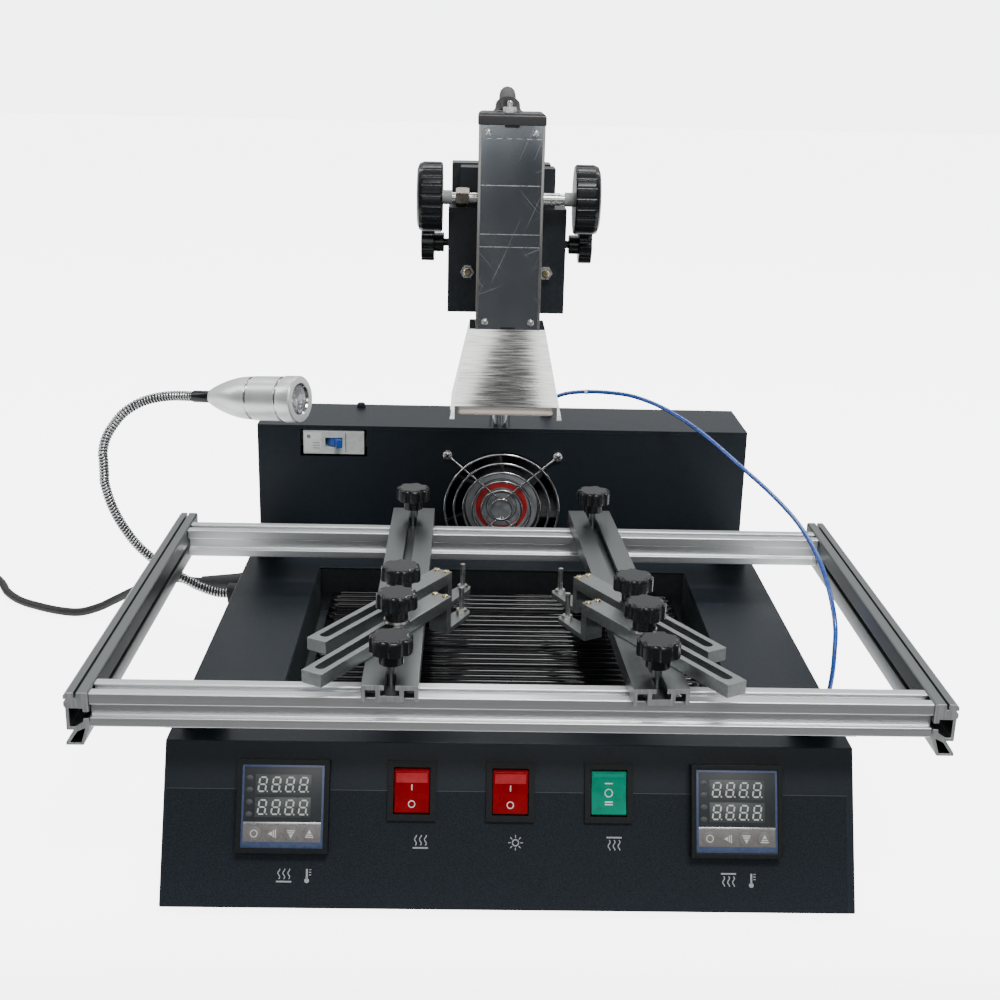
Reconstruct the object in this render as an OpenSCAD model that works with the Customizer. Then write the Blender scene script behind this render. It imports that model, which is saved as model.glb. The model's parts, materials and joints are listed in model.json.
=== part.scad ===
// Infrared rework station: sloped console with three ceramic preheat plates,
// a board frame of slotted rails, and a heater head on a mast.
// Millimetres, +Z up. Origin: centre of the base pan's underside.

/* [Case] */
// Width of the console and the tower
case_w = 365; // [356:1:372]
// Depth from the panel's lower edge to the tower's back
case_d = 442; // [430:1:470]
// Height of the console's flat top
deck_h = 78.5; // [74:0.5:90]
// Depth taken by the sloped front panel
panel_run = 36; // [25:1:45]
// Height of the rear tower
tower_h = 162.5; // [160:0.5:175]
// Depth of the rear tower
tower_d = 68; // [64:1:80]
// Thickness of the folded sheet
sheet = 1.5; // [1:0.1:2]
// Height of the low shelf in front of the tower
shelf_h = 52; // [46:1:54]
// Depth of the low shelf in front of the tower
shelf_d = 26; // [20:1:32]
// Height of the rubber feet
foot_h = 6; // [4:1:12]
// Diameter of the rubber feet
foot_dia = 18; // [12:1:24]

/* [Heater well] */
// Width of the opening in the deck
well_w = 258; // [250:1:270]
// Depth of the opening in the deck
well_d = 195; // [192:1:205]
// Set-back of the opening from the panel's lower edge
well_y = 104; // [95:1:112]
// Depth of the well below the deck
well_drop = 34; // [30:1:40]
// Room between the plates' ends and the well
plate_end = 9; // [7:0.5:16]
// Room between the outer plates and the well
plate_side = 4.5; // [3:0.5:8]
// Thickness of a ceramic plate without its ridges
plate_t = 9; // [6:0.5:12]
// Gap between two ceramic plates
plate_gap = 3; // [1:0.5:4]
// Radius of a ridge on a ceramic plate
ridge_r = 2.4; // [1.5:0.1:3]
// Ridges on one ceramic plate
ridge_count = 8; // [4:2:8]

/* [Panel fittings] */
// Square front of a temperature controller
bezel = 48; // [46:0.5:50]
// How far a controller's front stands off the panel
bezel_t = 7; // [5:0.5:10]
// Depth of a controller's body behind the panel
controller_depth = 58; // [40:1:60]
// Distance of the controllers' middles from the case's sides
controller_in = 63.5; // [55:0.5:68]
// Distance between two rocker switches
switch_pitch = 52; // [40:1:56]
// Width of a rocker's frame
switch_w = 25.5; // [24:0.5:28]
// Height of a rocker's frame
switch_h = 31; // [30:0.5:33]
// Width of a rocker
rocker_w = 18.5; // [15:0.5:19.5]
// Radius of a rocker's ends about its pivot
rocker_r = 11.8; // [10:0.1:12]
// Tilt of a rocker at rest in its off position
rocker_tilt = 9; // [6:1:10]

/* [Fan and breaker] */
// Side of the fan's square frame
fan_size = 92; // [90:1:93]
// Distance between the fan's screws
fan_pitch = 82.5; // [80:0.5:83]
// Thickness of the fan
fan_t = 25; // [20:1:26]
// Height of the fan's axis
fan_z = 100.4; // [100:0.1:102]
// Blades of the fan
blade_count = 7; // [5:1:9]
// Wire of the fan guard
guard_wire = 1.8; // [1.4:0.1:2.2]
// Thickness of the circuit breaker
breaker_t = 17.6; // [16:0.1:18]
// Length of the breaker's nose
nose_l = 45; // [42:1:46]
// Distance of the breaker's middle from the case's side
breaker_in = 56.5; // [52:0.5:72]

/* [Board frame] */
// Overall width of the frame
frame_w = 452; // [444:1:460]
// Length of the side rails
side_l = 289; // [284:1:305]
// Width of a side rail
side_w = 12.5; // [11.5:0.5:15]
// Height of a side rail
side_h = 29; // [28:0.5:34]
// Depth of a cross rail
cross_d = 18; // [16:0.5:20]
// Height of a cross rail
cross_h = 18.5; // [17:0.5:20]
// Height of the cross rails above the deck
rail_lift = 21; // [18:0.5:26]
// Set-back of the front cross rail from the side rails' ends
front_set = 0.5; // [0:0.5:4]
// Distance between the two cross rails
cross_pitch = 252; // [246:1:258]
// Mouth of a T-slot
slot_mouth = 5.6; // [5.4:0.1:6.5]
// Inside width of a T-slot
slot_in = 9.6; // [9.4:0.1:11]
// Inside height of a T-slot
slot_t = 3; // [2.8:0.1:3.5]

/* [Beams and arms] */
// Width of a cross beam
beam_w = 28.5; // [26:0.5:32]
// Height of a cross beam
beam_h = 9; // [8.5:0.5:11]
// Length of a cross beam
beam_l = 286; // [284:1:290]
// Place of the left beam across the frame
beam_left_x = -62.3; // [-120:0.1:-50]
// Place of the right beam across the frame
beam_right_x = 66; // [60:0.1:100]
// Skew of the right beam, in degrees
beam_skew = 2.95; // [0:0.05:3]
// Length of an arm's bar
bar_l = 124; // [115:1:130]
// Width of an arm's bar
bar_w = 12; // [10:0.5:14]
// Thickness of an arm's bar
bar_t = 7; // [5:0.5:8]
// Slot along an arm's bar
bar_slot = 5.6; // [5.4:0.1:6.5]
// Arm bolts from the panel's lower edge: left rear, left front, right rear, right front
arm_bolt_y = [108.5, 67.5, 99, 59.5]; // [20:0.5:250]
// Directions of the arms in the same order, in degrees
arm_angle = [59, 60, 120.5, 121.2]; // [40:0.1:140]
// Reach of the arms' inner ends past their bolts in the same order
arm_reach = [45.5, 47, 50, 49]; // [44:0.5:60]
// Drop of an arm's foot below the bar
foot_drop = 12; // [8:0.5:16]
// Length of an arm's foot
foot_l = 28; // [20:0.5:32]
// Thickness of an arm's foot
foot_t = 3; // [2:0.5:4]
// Diameter of a board pin
pin_dia = 3; // [2:0.1:4]
// Height of a board pin above its foot
pin_h = 16; // [10:0.5:24]
// Diameter of the clamp bolts
bolt_dia = 5; // [4:0.1:5.2]
// Diameter of a star knob
star_dia = 22.5; // [20:0.5:25]
// Thickness of a star knob's head
star_t = 8.5; // [6:0.5:11]
// Length of a star knob's boss
boss_t = 6.5; // [4:0.5:9]
// Free stud below a beam's clamp knob
clamp_lift = 6; // [1:0.5:8]

/* [Heater head] */
// Diameter of the mast
mast_dia = 16; // [14:0.5:18]
// Place of the mast across the case
mast_x = -2.5; // [-4:0.5:4]
// Distance of the mast behind the tower's face
mast_y = 13; // [12:0.5:16]
// Height of the mast's top end
mast_top = 372; // [366:1:420]
// Width of the head's box
head_w = 39.5; // [36:0.5:44]
// Depth of the head's box
head_d = 34; // [28:1:36]
// Height of the head's box
head_h = 122.5; // [118:0.5:135]
// Height of the head's lower end
head_z = 265; // [262:0.5:270]
// Distance from the mast to the head's slide
head_reach = 128; // [126:1:134]
// Width of the shroud at its top
shroud_top = 47; // [44:1:52]
// Width of the shroud at its lower edge
shroud_low = 70; // [68:1:76]
// Height of the shroud
shroud_h = 55; // [50:1:60]
// Side of the ceramic emitter
emitter = 60; // [55:1:62]
// Teeth of the pinion
pinion_teeth = 15; // [12:1:20]
// Module of the rack and pinion
gear_module = 1.2; // [1:0.1:1.4]
// Diameter of the pinion's shaft
shaft_dia = 6.5; // [6:0.5:9]
// Diameter of a height knob
height_knob = 44; // [38:1:48]
// Thickness of a height knob
height_knob_t = 16; // [12:1:20]

/* [Lamp and leads] */
// Diameter of the lamp's flexible neck
neck_dia = 7; // [6:0.5:8]
// Length of the lamp's body
lamp_l = 70; // [60:1:80]
// Diameter of the lamp's face
lamp_dia = 31; // [26:1:34]
// Diameter of the mains lead
lead_dia = 6.5; // [6:0.1:7]
// Diameter of the sensor lead
sensor_dia = 3; // [2.4:0.1:3.4]
// Diameter of the head's cable
cable_dia = 10; // [8:0.5:11]

/* [Hidden] */
$fn = 48;

// Gaps: sliding faces, running shafts, and parts that only fit together
slide_gap = 0.3;
run_gap = 0.05;
fit_gap = 0.2;

// Case
tower_y = case_d - tower_d;
shelf_y = tower_y - shelf_d;
panel_l = norm([panel_run, deck_h]);
panel_tilt = atan2(deck_h, panel_run);
panel_skin = sheet * panel_l / deck_h;
pan_rim = 12;
pan_front = 3;
pan_rise = 1;
field_w = 200;
field_d = 120;
foot_inset = 30;
vent_count = 9;
vent_w = 4;
vent_l = 30;
vent_pitch = 10;
tower_vent_x = 105;

// Heater well and plates
well_flange = 10;
well_floor = deck_h - well_drop;
ledge_w = 8;
ledge_h = 6;
plate_l = well_w - 2 * plate_end;
plate_w = (well_d - 2 * plate_side - 2 * plate_gap) / 3;
plate_x = plate_l / 2 - 25;
plate_z = well_floor + sheet + ledge_h;
ridge_pitch = plate_w / ridge_count;
ridge_l = plate_l - ridge_pitch - 2 * ridge_r;

// Panel fittings
controller_x = case_w / 2 - controller_in;
controller_s = 53;
controller_body = bezel - 3.4;
window_depth = 0.8;
key_r = 3.6;
key_t = 0.6;
key_s = -14;
switch_s = 61.3;
switch_rim = 2.2;
switch_body_w = rocker_w + 3.2;
switch_body_h = 28;
switch_body_d = 16;
rocker_hole_w = rocker_w + 2 * slide_gap + 0.2;
rocker_hole_h = 2 * rocker_r + 2 * slide_gap + 0.2;
pivot_w = -2;
pivot_r = 1.5;

// Fan, guard and breaker
fan_y = tower_y + sheet;
duct_r = fan_size / 2 - 1.6;
fan_hole_r = duct_r - 0.5;
hub_r = 28.5;
shaft_r = 1.5;
ring_step = 7;
ring_outer = 43;
ring_lift = 3.6;
strut_lift = 2.2;
strut_low = 6;
eye_r = 3.6;
breaker_x = case_w / 2 - breaker_in;
breaker_z = tower_h - sheet - breaker_t / 2 - 2.6;
breaker_back = 44.5;
breaker_l = 82;
window_w = nose_l + 4.5;
window_h = breaker_t + 4;
toggle_r = 6;
toggle_t = 6.4;
toggle_y = tower_y + 6.5;

// Board frame
side_y = 7.5;
rail_z = deck_h + rail_lift;
rail_top = rail_z + cross_h;
side_z = rail_top + 0.4 - side_h;
cross_l = frame_w - 2 * side_w;
front_y = side_y + front_set + cross_d / 2;
rear_y = front_y + cross_pitch;
mouth_low = 15;
mouth_high = 18.4;
channel_d = 3.4;
channel_h = 6.9;
post_in = 17.5;
post_x = case_w / 2 - post_in;
front_riser = 36;
rear_riser = 51;
tab_w = 24;
tab_t = 3;

// Beams and arms
beam_z = rail_top + slide_gap;
beam_y = 145;
beam_top = beam_z + beam_h;
beam_places = [[beam_left_x, 0], [beam_right_x, beam_skew]];
bar_z = beam_top + slide_gap;
washer_t = 1.5;
washer_r = 7;
washer_z = bar_z + bar_t + slide_gap;
arm_knob_z = washer_z + washer_t + slide_gap;
clamp_knob_z = beam_top + clamp_lift;
head_t = slot_t - 2 * slide_gap + 0.1;
plate_thick = 4;
foot_z = bar_z - foot_drop - foot_t;
pin_x = foot_l - 6;
boss_r = 6.3;
slot_past = 6;

// Arm i sits on a beam; its bolt's place in plan
function arm_side(i) = i < 2 ? 0 : 1;
function beam_point(side, y) =
    let (b = beam_places[side])
    [b[0] - (y - beam_y) * tan(b[1]), y];

// Head, slide and carriage
mast_yy = tower_y + mast_y;
mast_z = fan_z + fan_size / 2 + 2;
socket_r = mast_dia / 2 + 9;
slide_y = mast_yy - head_reach;
head_y = slide_y - head_d;
cover_t = 1.2;
cap_h = 7;
cap_over = 0.6;
neck_w = 10;
neck_d = 5;
tee_w = 16;
tee_d = 3.6;
rack_add = gear_module * 0.9;
rack_ded = gear_module * 1.25;
pitch_r = gear_module * pinion_teeth / 2;
rack_pitch = PI * gear_module;
rack_root = slide_y + neck_d + tee_d;
pinion_y = rack_root + rack_ded + pitch_r;
pinion_lift = 74.7;
pinion_z = head_z + pinion_lift;
pocket_r = pitch_r + rack_add + 0.8;
pinion_w = 12;
rack_z = head_z + 4;
rack_l = head_h - 8;
house_w = 38;
house_y = slide_y + 1.5;
house_up = 9;
house_z = head_z + house_up;
house_top = pinion_z + pocket_r + 1.4;
block_w = 77;
block_reach = 97;
block_y = mast_yy - block_reach;
block_d = 36;
block_z = head_z - 1;
block_h = 68;
crown_w = 62;
crown_h = 25;
crown_reach = 87;
crown_y = mast_yy - crown_reach;
crown_top = block_z + block_h + crown_h;
clamp_r = mast_dia / 2 + 12;
shoulder_w = 66;
shoulder_d = 24;
shoulder_x = -37;
knob_out = 42;
lock_up = 42.5;
lock_z = head_z + lock_up;
lock_reach = 79;
lock_y = mast_yy - lock_reach;
lock_lift = 3;
lock_dia = star_dia + 2;
lock_in = 12;
flutes = 22;
knob_collar = 7;
knob_round = 4;
gland_in = 9;
shroud_z = head_z - shroud_h;
shroud_cut = 8;
shroud_y = head_y + 24;
emitter_t = 7;
emitter_y = shroud_y - 1.2;
emitter_z = shroud_z + 1.5;
stem_w = 26;
stem_d = 14;

// Leads: hand-chosen route points, front edge of the case at y = 0
wall = case_w / 2;
gland_r = 9;
gland_l = 37.5;
neck_nut_r = 7.5;
neck_nut_l = 14;
coil_r = 36;
coil_turns = 4;
coil_w = coil_turns * lead_dia + 0.4;
coil_h = 2 * lead_dia + 0.2;
plug_w = 36;
plug_l = 34;
plug_t = 18;
plug_z = plug_t / 2 - foot_h;
lead_z = 0.4 + lead_dia / 2 - foot_h;

// Routes on the left count X from the case's left wall
function from_wall(route) = [for (p = route) [p[0] - wall, p[1], p[2]]];
coil_at = [-wall - 288, 450];
plug_x = coil_at[0] - coil_r - lead_dia / 2;
lead_route = from_wall([[-gland_l, 332, 53], [-46, 333.5, 53], [-54, 342, 51.5], [-65, 357, 46], [-77, 370, 39],
    [-89, 381, 31], [-100, 390.5, 23.5], [-111, 398, 16], [-122, 402.5, 9], [-135, 404.5, 2],
    [-150, 404.6, lead_z], [-166, 406.5, lead_z], [-185, 415, lead_z], [-204, 427, lead_z], [-220, 445, lead_z],
    [-231, 465, lead_z], [-245, 483, lead_z], [-264, 493, lead_z], [-288, 496, lead_z]]);
grommet_h = 4;
sensor_from = [34, tower_y + 44, tower_h + grommet_h];
sensor_end = [wall + 9.5, 153, 46];
sensor_route = [sensor_from, sensor_from + [2, -2, 7.5], sensor_from + [12, -8, 14.5], [60, 402, 185],
    [78, 393, 187], [98, 380, 187], [120, 360, 182], [142, 334, 172], [164, 300, 158], [180, 268, 148],
    [192, 236, 138], [199, 206, 126], [202, 182, 112], [203, 164, 96], [202, 156, 80],
    sensor_end + [9, 0, 19], sensor_end + [7, 0, 6], sensor_end];
cable_from = [mast_x - 2.5, head_y + 21, head_z + head_h + cap_h + 3.5];
cable_end = [mast_x - 2.5, crown_y + 7, crown_top + grommet_h + slide_gap];
cable_route = [cable_from, cable_from + [0, 6.5, 4.4], cable_from + [0, 14, 5.9], cable_from + [0, 22, 4.5],
    cable_from + [0, 31, 0], cable_end + [0, -20, 30], cable_end + [0, -9.5, 22], cable_end + [0, -2.4, 13.5],
    cable_end + [0, 0, 7], cable_end + [0, 0, 3.5], cable_end];
neck_joint = [-95, 300, 150];
neck_gap = 1.4;
knuckle_r = 1.8;
neck_lower_route = from_wall([[-neck_nut_l, 310, 53], [-24, 310, 54], [-36, 309, 59], [-48, 307, 67],
    [-61, 304, 77], [-74, 302, 90], [-84, 301, 105], [-91, 300, 121], [-95, 300, 137], [-95, 300, 144],
    neck_joint - [0, 0, neck_gap / 2]]);
neck_upper_route = from_wall([neck_joint + [0, 0, neck_gap / 2], [-95, 300, 155], [-95, 300, 160],
    [-93, 302, 169], [-88, 305, 178], [-80, 309, 187], [-67, 313, 194], [-50, 311, 198], [-31, 303, 200]]);
lamp_turn = [0, 85, -23.5];

// Moves from the front edge of the panel to the origin
module at_front() {
    translate([0, -case_d / 2, 0])
        children();
}

// A frame on the sloped panel: X across, Y up the slope, Z out of the panel
module on_panel(x, s) {
    translate([x, s * cos(panel_tilt), s * sin(panel_tilt)])
        rotate([panel_tilt, 0, 0])
            children();
}

// A box centred in X and Y on its lower face
module block(size) {
    translate([-size[0] / 2, -size[1] / 2, 0])
        cube(size);
}

// A straight bar of length l along Y made from a section drawn in X and Z
module along_y(l) {
    rotate([90, 0, 0])
        translate([0, 0, -l])
            linear_extrude(l)
                children();
}

// A straight bar of length l along X made from a section drawn in Y and Z
module along_x(l) {
    rotate([90, 0, 90])
        linear_extrude(l)
            children();
}

// T-slot section cut down from the top edge at y = 0
module slot_section(depth) {
    translate([-slot_mouth / 2, -depth])
        square([slot_mouth, depth + 1]);
    translate([-slot_in / 2, -depth - slot_t])
        square([slot_in, slot_t + 0.01]);
}

// Smooth curve through the route, rings and a tube around it
function curve_point(p, i, t) =
    let (a = p[max(i - 1, 0)], b = p[i], c = p[i + 1], d = p[min(i + 2, len(p) - 1)])
    0.5 * (2 * b + (c - a) * t + (2 * a - 5 * b + 4 * c - d) * t * t + (3 * b - a - 3 * c + d) * t * t * t);
function curve(p, n) =
    concat([for (i = [0:len(p) - 2]) for (k = [0:n - 1]) curve_point(p, i, k / n)], [p[len(p) - 1]]);
function unit(v) = v / norm(v);
function headings(q) =
    [for (i = [0:len(q) - 1]) unit(q[min(i + 1, len(q) - 1)] - q[max(i - 1, 0)])];
function sides(t, n, i = 0) =
    i >= len(t) ? [] : let (m = unit(n - t[i] * (n * t[i]))) concat([m], sides(t, m, i + 1));

module tube(q, r, n) {
    t = headings(q);
    s = sides(t, abs(t[0][2]) < 0.8 ? [0, 0, 1] : [0, 1, 0]);
    rings = [for (i = [0:len(q) - 1]) for (k = [0:n - 1])
        q[i] + r * (cos(360 * k / n) * s[i] + sin(360 * k / n) * cross(t[i], s[i]))];
    last = len(q) - 1;
    walls = [for (i = [0:last - 1]) for (k = [0:n - 1])
        [i * n + k, (i + 1) * n + k, (i + 1) * n + (k + 1) % n, i * n + (k + 1) % n]];
    ends = [[for (k = [0:n - 1]) k], [for (k = [n - 1:-1:0]) last * n + k]];
    polyhedron(rings, concat(walls, ends), convexity = 4);
}

// Star knob standing on z = 0, with its boss below and a bore for its stud
module star_knob(dia = star_dia) {
    difference() {
        union() {
            cylinder(r = boss_r, h = boss_t);
            translate([0, 0, boss_t])
                difference() {
                    cylinder(d = dia, h = star_t);
                    for (k = [0:6])
                        rotate(k * 360 / 7)
                            translate([dia / 2 + 2, 0, -1])
                                cylinder(r = 3.4, h = star_t + 2);
                }
        }
        translate([0, 0, -1])
            cylinder(r = bolt_dia / 2 + run_gap, h = boss_t + star_t - 1);
    }
}

// Square-headed bolt: its head hangs below z = 0, its stud stands above
module square_bolt(stud) {
    translate([0, 0, -head_t])
        block([slot_in - 2 * slide_gap, slot_in - 2 * slide_gap, head_t]);
    translate([0, 0, -0.01])
        cylinder(d = bolt_dia, h = stud);
}

// Base pan: folded tray with cooling slots
module base_pan() {
    pan_w = case_w - 2 * (sheet + fit_gap);
    pan_d = case_d - sheet - fit_gap - pan_front;
    color("dimgray") at_front() difference() {
        union() {
            translate([-pan_w / 2, pan_front, pan_rise])
                cube([pan_w, pan_d, sheet]);
            for (s = [-1, 1])
                translate([s * (pan_w - sheet) / 2 - sheet / 2, pan_front + pan_rim, pan_rise])
                    cube([sheet, pan_d - pan_rim, pan_rim]);
            translate([-pan_w / 2, pan_front + pan_d - sheet, pan_rise])
                cube([pan_w, sheet, pan_rim]);
            translate([0, case_d / 2, 0])
                block([field_w, field_d, pan_rise + sheet]);
        }
        translate([0, case_d / 2, sheet])
            block([field_w - 2 * sheet, field_d - 2 * sheet, pan_rise + sheet]);
        for (y = [0.3, 0.7])
            for (k = [0:vent_count - 1])
                translate([(k - (vent_count - 1) / 2) * vent_pitch, y * case_d, -1])
                    block([vent_w, vent_l, pan_rise + sheet + 2]);
    }
}

// Outline of the console in Y and Z; skin sets it in by one sheet
module console_outline(skin) {
    low = skin > 0 ? -1 : 0;
    back = skin > 0 ? tower_y + 1 : tower_y;
    slope = panel_run / deck_h;
    lean = skin > 0 ? panel_skin : 0;
    polygon([[low * slope + lean, low], [(deck_h - skin) * slope + lean, deck_h - skin],
        [shelf_y - skin, deck_h - skin], [shelf_y - skin, shelf_h - skin], [back, shelf_h - skin],
        [back, low]]);
}

// Console cover: one folded sheet with sloped panel, deck, low rear shelf and side walls
module console_cover() {
    color([0.13, 0.14, 0.16]) at_front() difference() {
        translate([-case_w / 2, 0, 0])
            along_x(case_w)
                console_outline(0);
        translate([sheet - case_w / 2, 0, 0])
            along_x(case_w - 2 * sheet)
                console_outline(sheet);
        translate([0, well_y + well_d / 2, deck_h - sheet - 1])
            block([well_w, well_d, sheet + 2]);
        for (s = [-1, 1])
            on_panel(s * controller_x, controller_s)
                translate([0, 0, -4 * sheet])
                    block([controller_body + 2 * fit_gap, controller_body + 2 * fit_gap, 8 * sheet]);
        for (k = [-1:1])
            on_panel(k * switch_pitch, switch_s)
                translate([0, 0, -4 * sheet])
                    block([switch_body_w + 2 * fit_gap, switch_body_h + 2 * fit_gap, 8 * sheet]);
    }
}

// Rear tower: tall cover with the fan opening, the breaker's window and the mast's welded socket
module rear_tower() {
    socket_z = mast_z - slide_gap - sheet;
    color([0.12, 0.13, 0.15]) at_front() difference() {
        union() {
            difference() {
                translate([0, tower_y + tower_d / 2, 0])
                    block([case_w, tower_d, tower_h]);
                translate([0, tower_y + tower_d / 2, -1])
                    block([case_w - 2 * sheet, tower_d - 2 * sheet, tower_h - sheet + 1]);
            }
            translate([mast_x - socket_r, tower_y + sheet / 2, socket_z])
                cube([2 * socket_r, mast_y + socket_r, tower_h - socket_z - sheet / 2]);
        }
        translate([mast_x, mast_yy, socket_z + sheet])
            cylinder(r = mast_dia / 2 + run_gap, h = tower_h);
        translate([0, tower_y - 1, fan_z])
            rotate([-90, 0, 0]) {
                cylinder(r = fan_hole_r, h = sheet + 2);
                for (x = [-1, 1])
                    for (y = [-1, 1])
                        translate([x * fan_pitch / 2, y * fan_pitch / 2, 0])
                            cylinder(d = 4.3, h = sheet + 2);
            }
        translate([-breaker_x - window_w / 2, tower_y - 1, breaker_z - window_h / 2])
            cube([window_w, sheet + 2, window_h]);
        translate([0, tower_y, -1])
            block([case_w - 2 * sheet, 4 * sheet, pan_rise + pan_rim + fit_gap + 1]);
        for (s = [-1, 1])
            for (k = [0:vent_count - 1])
                translate([s * tower_vent_x + (k - (vent_count - 1) / 2) * vent_pitch, case_d, fan_z])
                    cube([vent_w, 4 * sheet, 2 * vent_l], center = true);
    }
}

// Rubber feet under the pan
module rubber_feet() {
    color("black") at_front()
        for (x = [-1, 1])
            for (y = [foot_inset, case_d - foot_inset])
                translate([x * (case_w / 2 - foot_inset), y, -foot_h])
                    cylinder(d = foot_dia, h = foot_h + pan_rise);
}

// Heater well: pan under the deck with two ledges for the plates
module heater_well() {
    lip_z = deck_h - 2 * sheet;
    color([0.1, 0.1, 0.11]) at_front() translate([0, well_y + well_d / 2, 0]) {
        difference() {
            union() {
                translate([0, 0, lip_z])
                    block([well_w + 2 * well_flange, well_d + 2 * well_flange, sheet]);
                translate([0, 0, well_floor])
                    block([well_w + 2 * sheet, well_d + 2 * sheet, lip_z - well_floor + sheet / 2]);
            }
            translate([0, 0, well_floor + sheet])
                block([well_w, well_d, well_drop]);
        }
        for (s = [-1, 1])
            translate([s * plate_x, 0, well_floor + sheet / 2])
                block([ledge_w, well_d, ledge_h + sheet / 2]);
    }
}

// One glazed ceramic plate with a serpentine ridge
module preheat_plate() {
    block([plate_l, plate_w, plate_t]);
    for (k = [0:ridge_count - 1])
        translate([-ridge_l / 2, (k - (ridge_count - 1) / 2) * ridge_pitch, plate_t])
            rotate([0, 90, 0])
                cylinder(r = ridge_r, h = ridge_l, $fn = 24);
    for (k = [0:ridge_count - 2])
        translate([(k % 2 == 0 ? 1 : -1) * ridge_l / 2, (k - ridge_count / 2 + 1) * ridge_pitch, plate_t])
            rotate(k % 2 == 0 ? -90 : 90)
                rotate_extrude(angle = 180)
                    translate([ridge_pitch / 2, 0])
                        circle(r = ridge_r, $fn = 24);
}

// Three ceramic plates side by side in the well
module preheat_plates() {
    color([0.06, 0.06, 0.07]) at_front()
        for (k = [-1:1])
            translate([0, well_y + well_d / 2 + k * (plate_w + plate_gap), plate_z])
                preheat_plate();
}

// Temperature controller: square front with a window and four keys, body behind the panel
module controller(x) {
    color([0.16, 0.17, 0.2]) at_front() on_panel(x, controller_s) {
        difference() {
            union() {
                block([bezel, bezel, bezel_t]);
                translate([0, 0, -controller_depth])
                    block([controller_body, controller_body, controller_depth + bezel_t / 2]);
            }
            translate([0, 0, bezel_t - window_depth])
                block([bezel - 5, bezel - 5, 2]);
        }
        for (k = [0:3])
            translate([(k - 1.5) * bezel / 5, key_s, bezel_t - window_depth - key_t])
                cylinder(r = key_r, h = 2 * key_t);
    }
}

module controller_left() {
    controller(-controller_x);
}

module controller_right() {
    controller(controller_x);
}

// Frames and housings of the three rocker switches
module switch_frames() {
    color([0.08, 0.08, 0.09]) at_front()
        for (k = [-1:1])
            on_panel(k * switch_pitch, switch_s)
                difference() {
                    union() {
                        block([switch_w, switch_h, switch_rim]);
                        translate([0, 0, -switch_body_d])
                            block([switch_body_w, switch_body_h, switch_body_d + switch_rim / 2]);
                    }
                    translate([0, 0, sheet - switch_body_d])
                        block([rocker_hole_w, rocker_hole_h, switch_body_d + switch_rim]);
                    translate([-switch_w, 0, pivot_w])
                        rotate([0, 90, 0])
                            cylinder(r = pivot_r + run_gap, h = 2 * switch_w);
                }
}

// Rocker with a shallow V face, on trunnions
module rocker(x, tilt) {
    at_front() on_panel(x, switch_s) translate([0, 0, pivot_w]) rotate([tilt, 0, 0]) {
        intersection() {
            rotate([0, 90, 0])
                cylinder(r = rocker_r, h = rocker_w, center = true);
            translate([-rocker_w / 2, 0, 0])
                along_x(rocker_w)
                    polygon([[-15, 5.2], [0, 2.6], [15, 5.2], [15, -7], [-15, -7]]);
        }
        rotate([0, 90, 0])
            cylinder(r = pivot_r, h = rocker_hole_w + sheet, center = true);
    }
}

module preheat_rocker() {
    color("red") rocker(-switch_pitch, rocker_tilt);
}

module lamp_rocker() {
    color("red") rocker(0, rocker_tilt);
}

module weld_rocker() {
    color("limegreen") rocker(switch_pitch, 0);
}

// Circuit breaker lying on its side, its nose in the tower's window
module breaker_body() {
    front = tower_y - 0.5;
    back = case_d - sheet;
    waist = back - breaker_back;
    color("gainsboro") at_front() translate([-breaker_x, 0, breaker_z]) {
        difference() {
            translate([0, 0, -breaker_t / 2])
                linear_extrude(breaker_t)
                    polygon([[-nose_l / 2, front], [nose_l / 2, front], [nose_l / 2, waist],
                        [breaker_l / 2, waist], [breaker_l / 2, back], [-breaker_l / 2, back],
                        [-breaker_l / 2, waist], [-nose_l / 2, waist]]);
            translate([0, toggle_y, 0])
                cylinder(r = toggle_r + 0.4, h = toggle_t + 0.8, center = true);
            translate([-toggle_r - 0.4, front - 1, -toggle_t / 2 - 0.4])
                cube([2 * toggle_r + 0.8, toggle_y - front + 1, toggle_t + 0.8]);
        }
        translate([0, toggle_y, 0])
            cylinder(r = 1.2, h = breaker_t - 2, center = true);
    }
}

// Toggle of the breaker, thrown to the right at rest
module breaker_toggle() {
    color("royalblue") at_front() translate([-breaker_x, toggle_y, breaker_z]) rotate(22)
        difference() {
            union() {
                cylinder(r = toggle_r, h = toggle_t, center = true);
                translate([-2.2, -13, -toggle_t / 2])
                    cube([4.4, 13, toggle_t]);
            }
            cylinder(r = 1.2 + run_gap, h = breaker_t, center = true);
        }
}

// Fan frame: two flanges on a barrel, rear spider with the bearing sleeve
module fan_frame() {
    color([0.1, 0.1, 0.1]) at_front() translate([0, fan_y, fan_z]) rotate([-90, 0, 0]) {
        difference() {
            union() {
                for (z = [0, fan_t - 4])
                    translate([0, 0, z])
                        block([fan_size, fan_size, 4]);
                cylinder(d = fan_size, h = fan_t);
            }
            translate([0, 0, -1])
                cylinder(r = duct_r, h = fan_t + 2);
            for (x = [-1, 1])
                for (y = [-1, 1])
                    translate([x * fan_pitch / 2, y * fan_pitch / 2, -1])
                        cylinder(d = 4.3, h = fan_t + 2);
        }
        difference() {
            union() {
                translate([0, 0, fan_t - 3])
                    cylinder(r = hub_r, h = 3);
                translate([0, 0, fan_t - 14])
                    cylinder(r = 4, h = 12);
                for (k = [0:3])
                    rotate(45 + 90 * k)
                        translate([hub_r - 2, -2.5, fan_t - 3])
                            cube([duct_r - hub_r + 3, 5, 3]);
            }
            translate([0, 0, fan_t - 15])
                cylinder(r = shaft_r + run_gap, h = 16);
        }
    }
}

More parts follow.
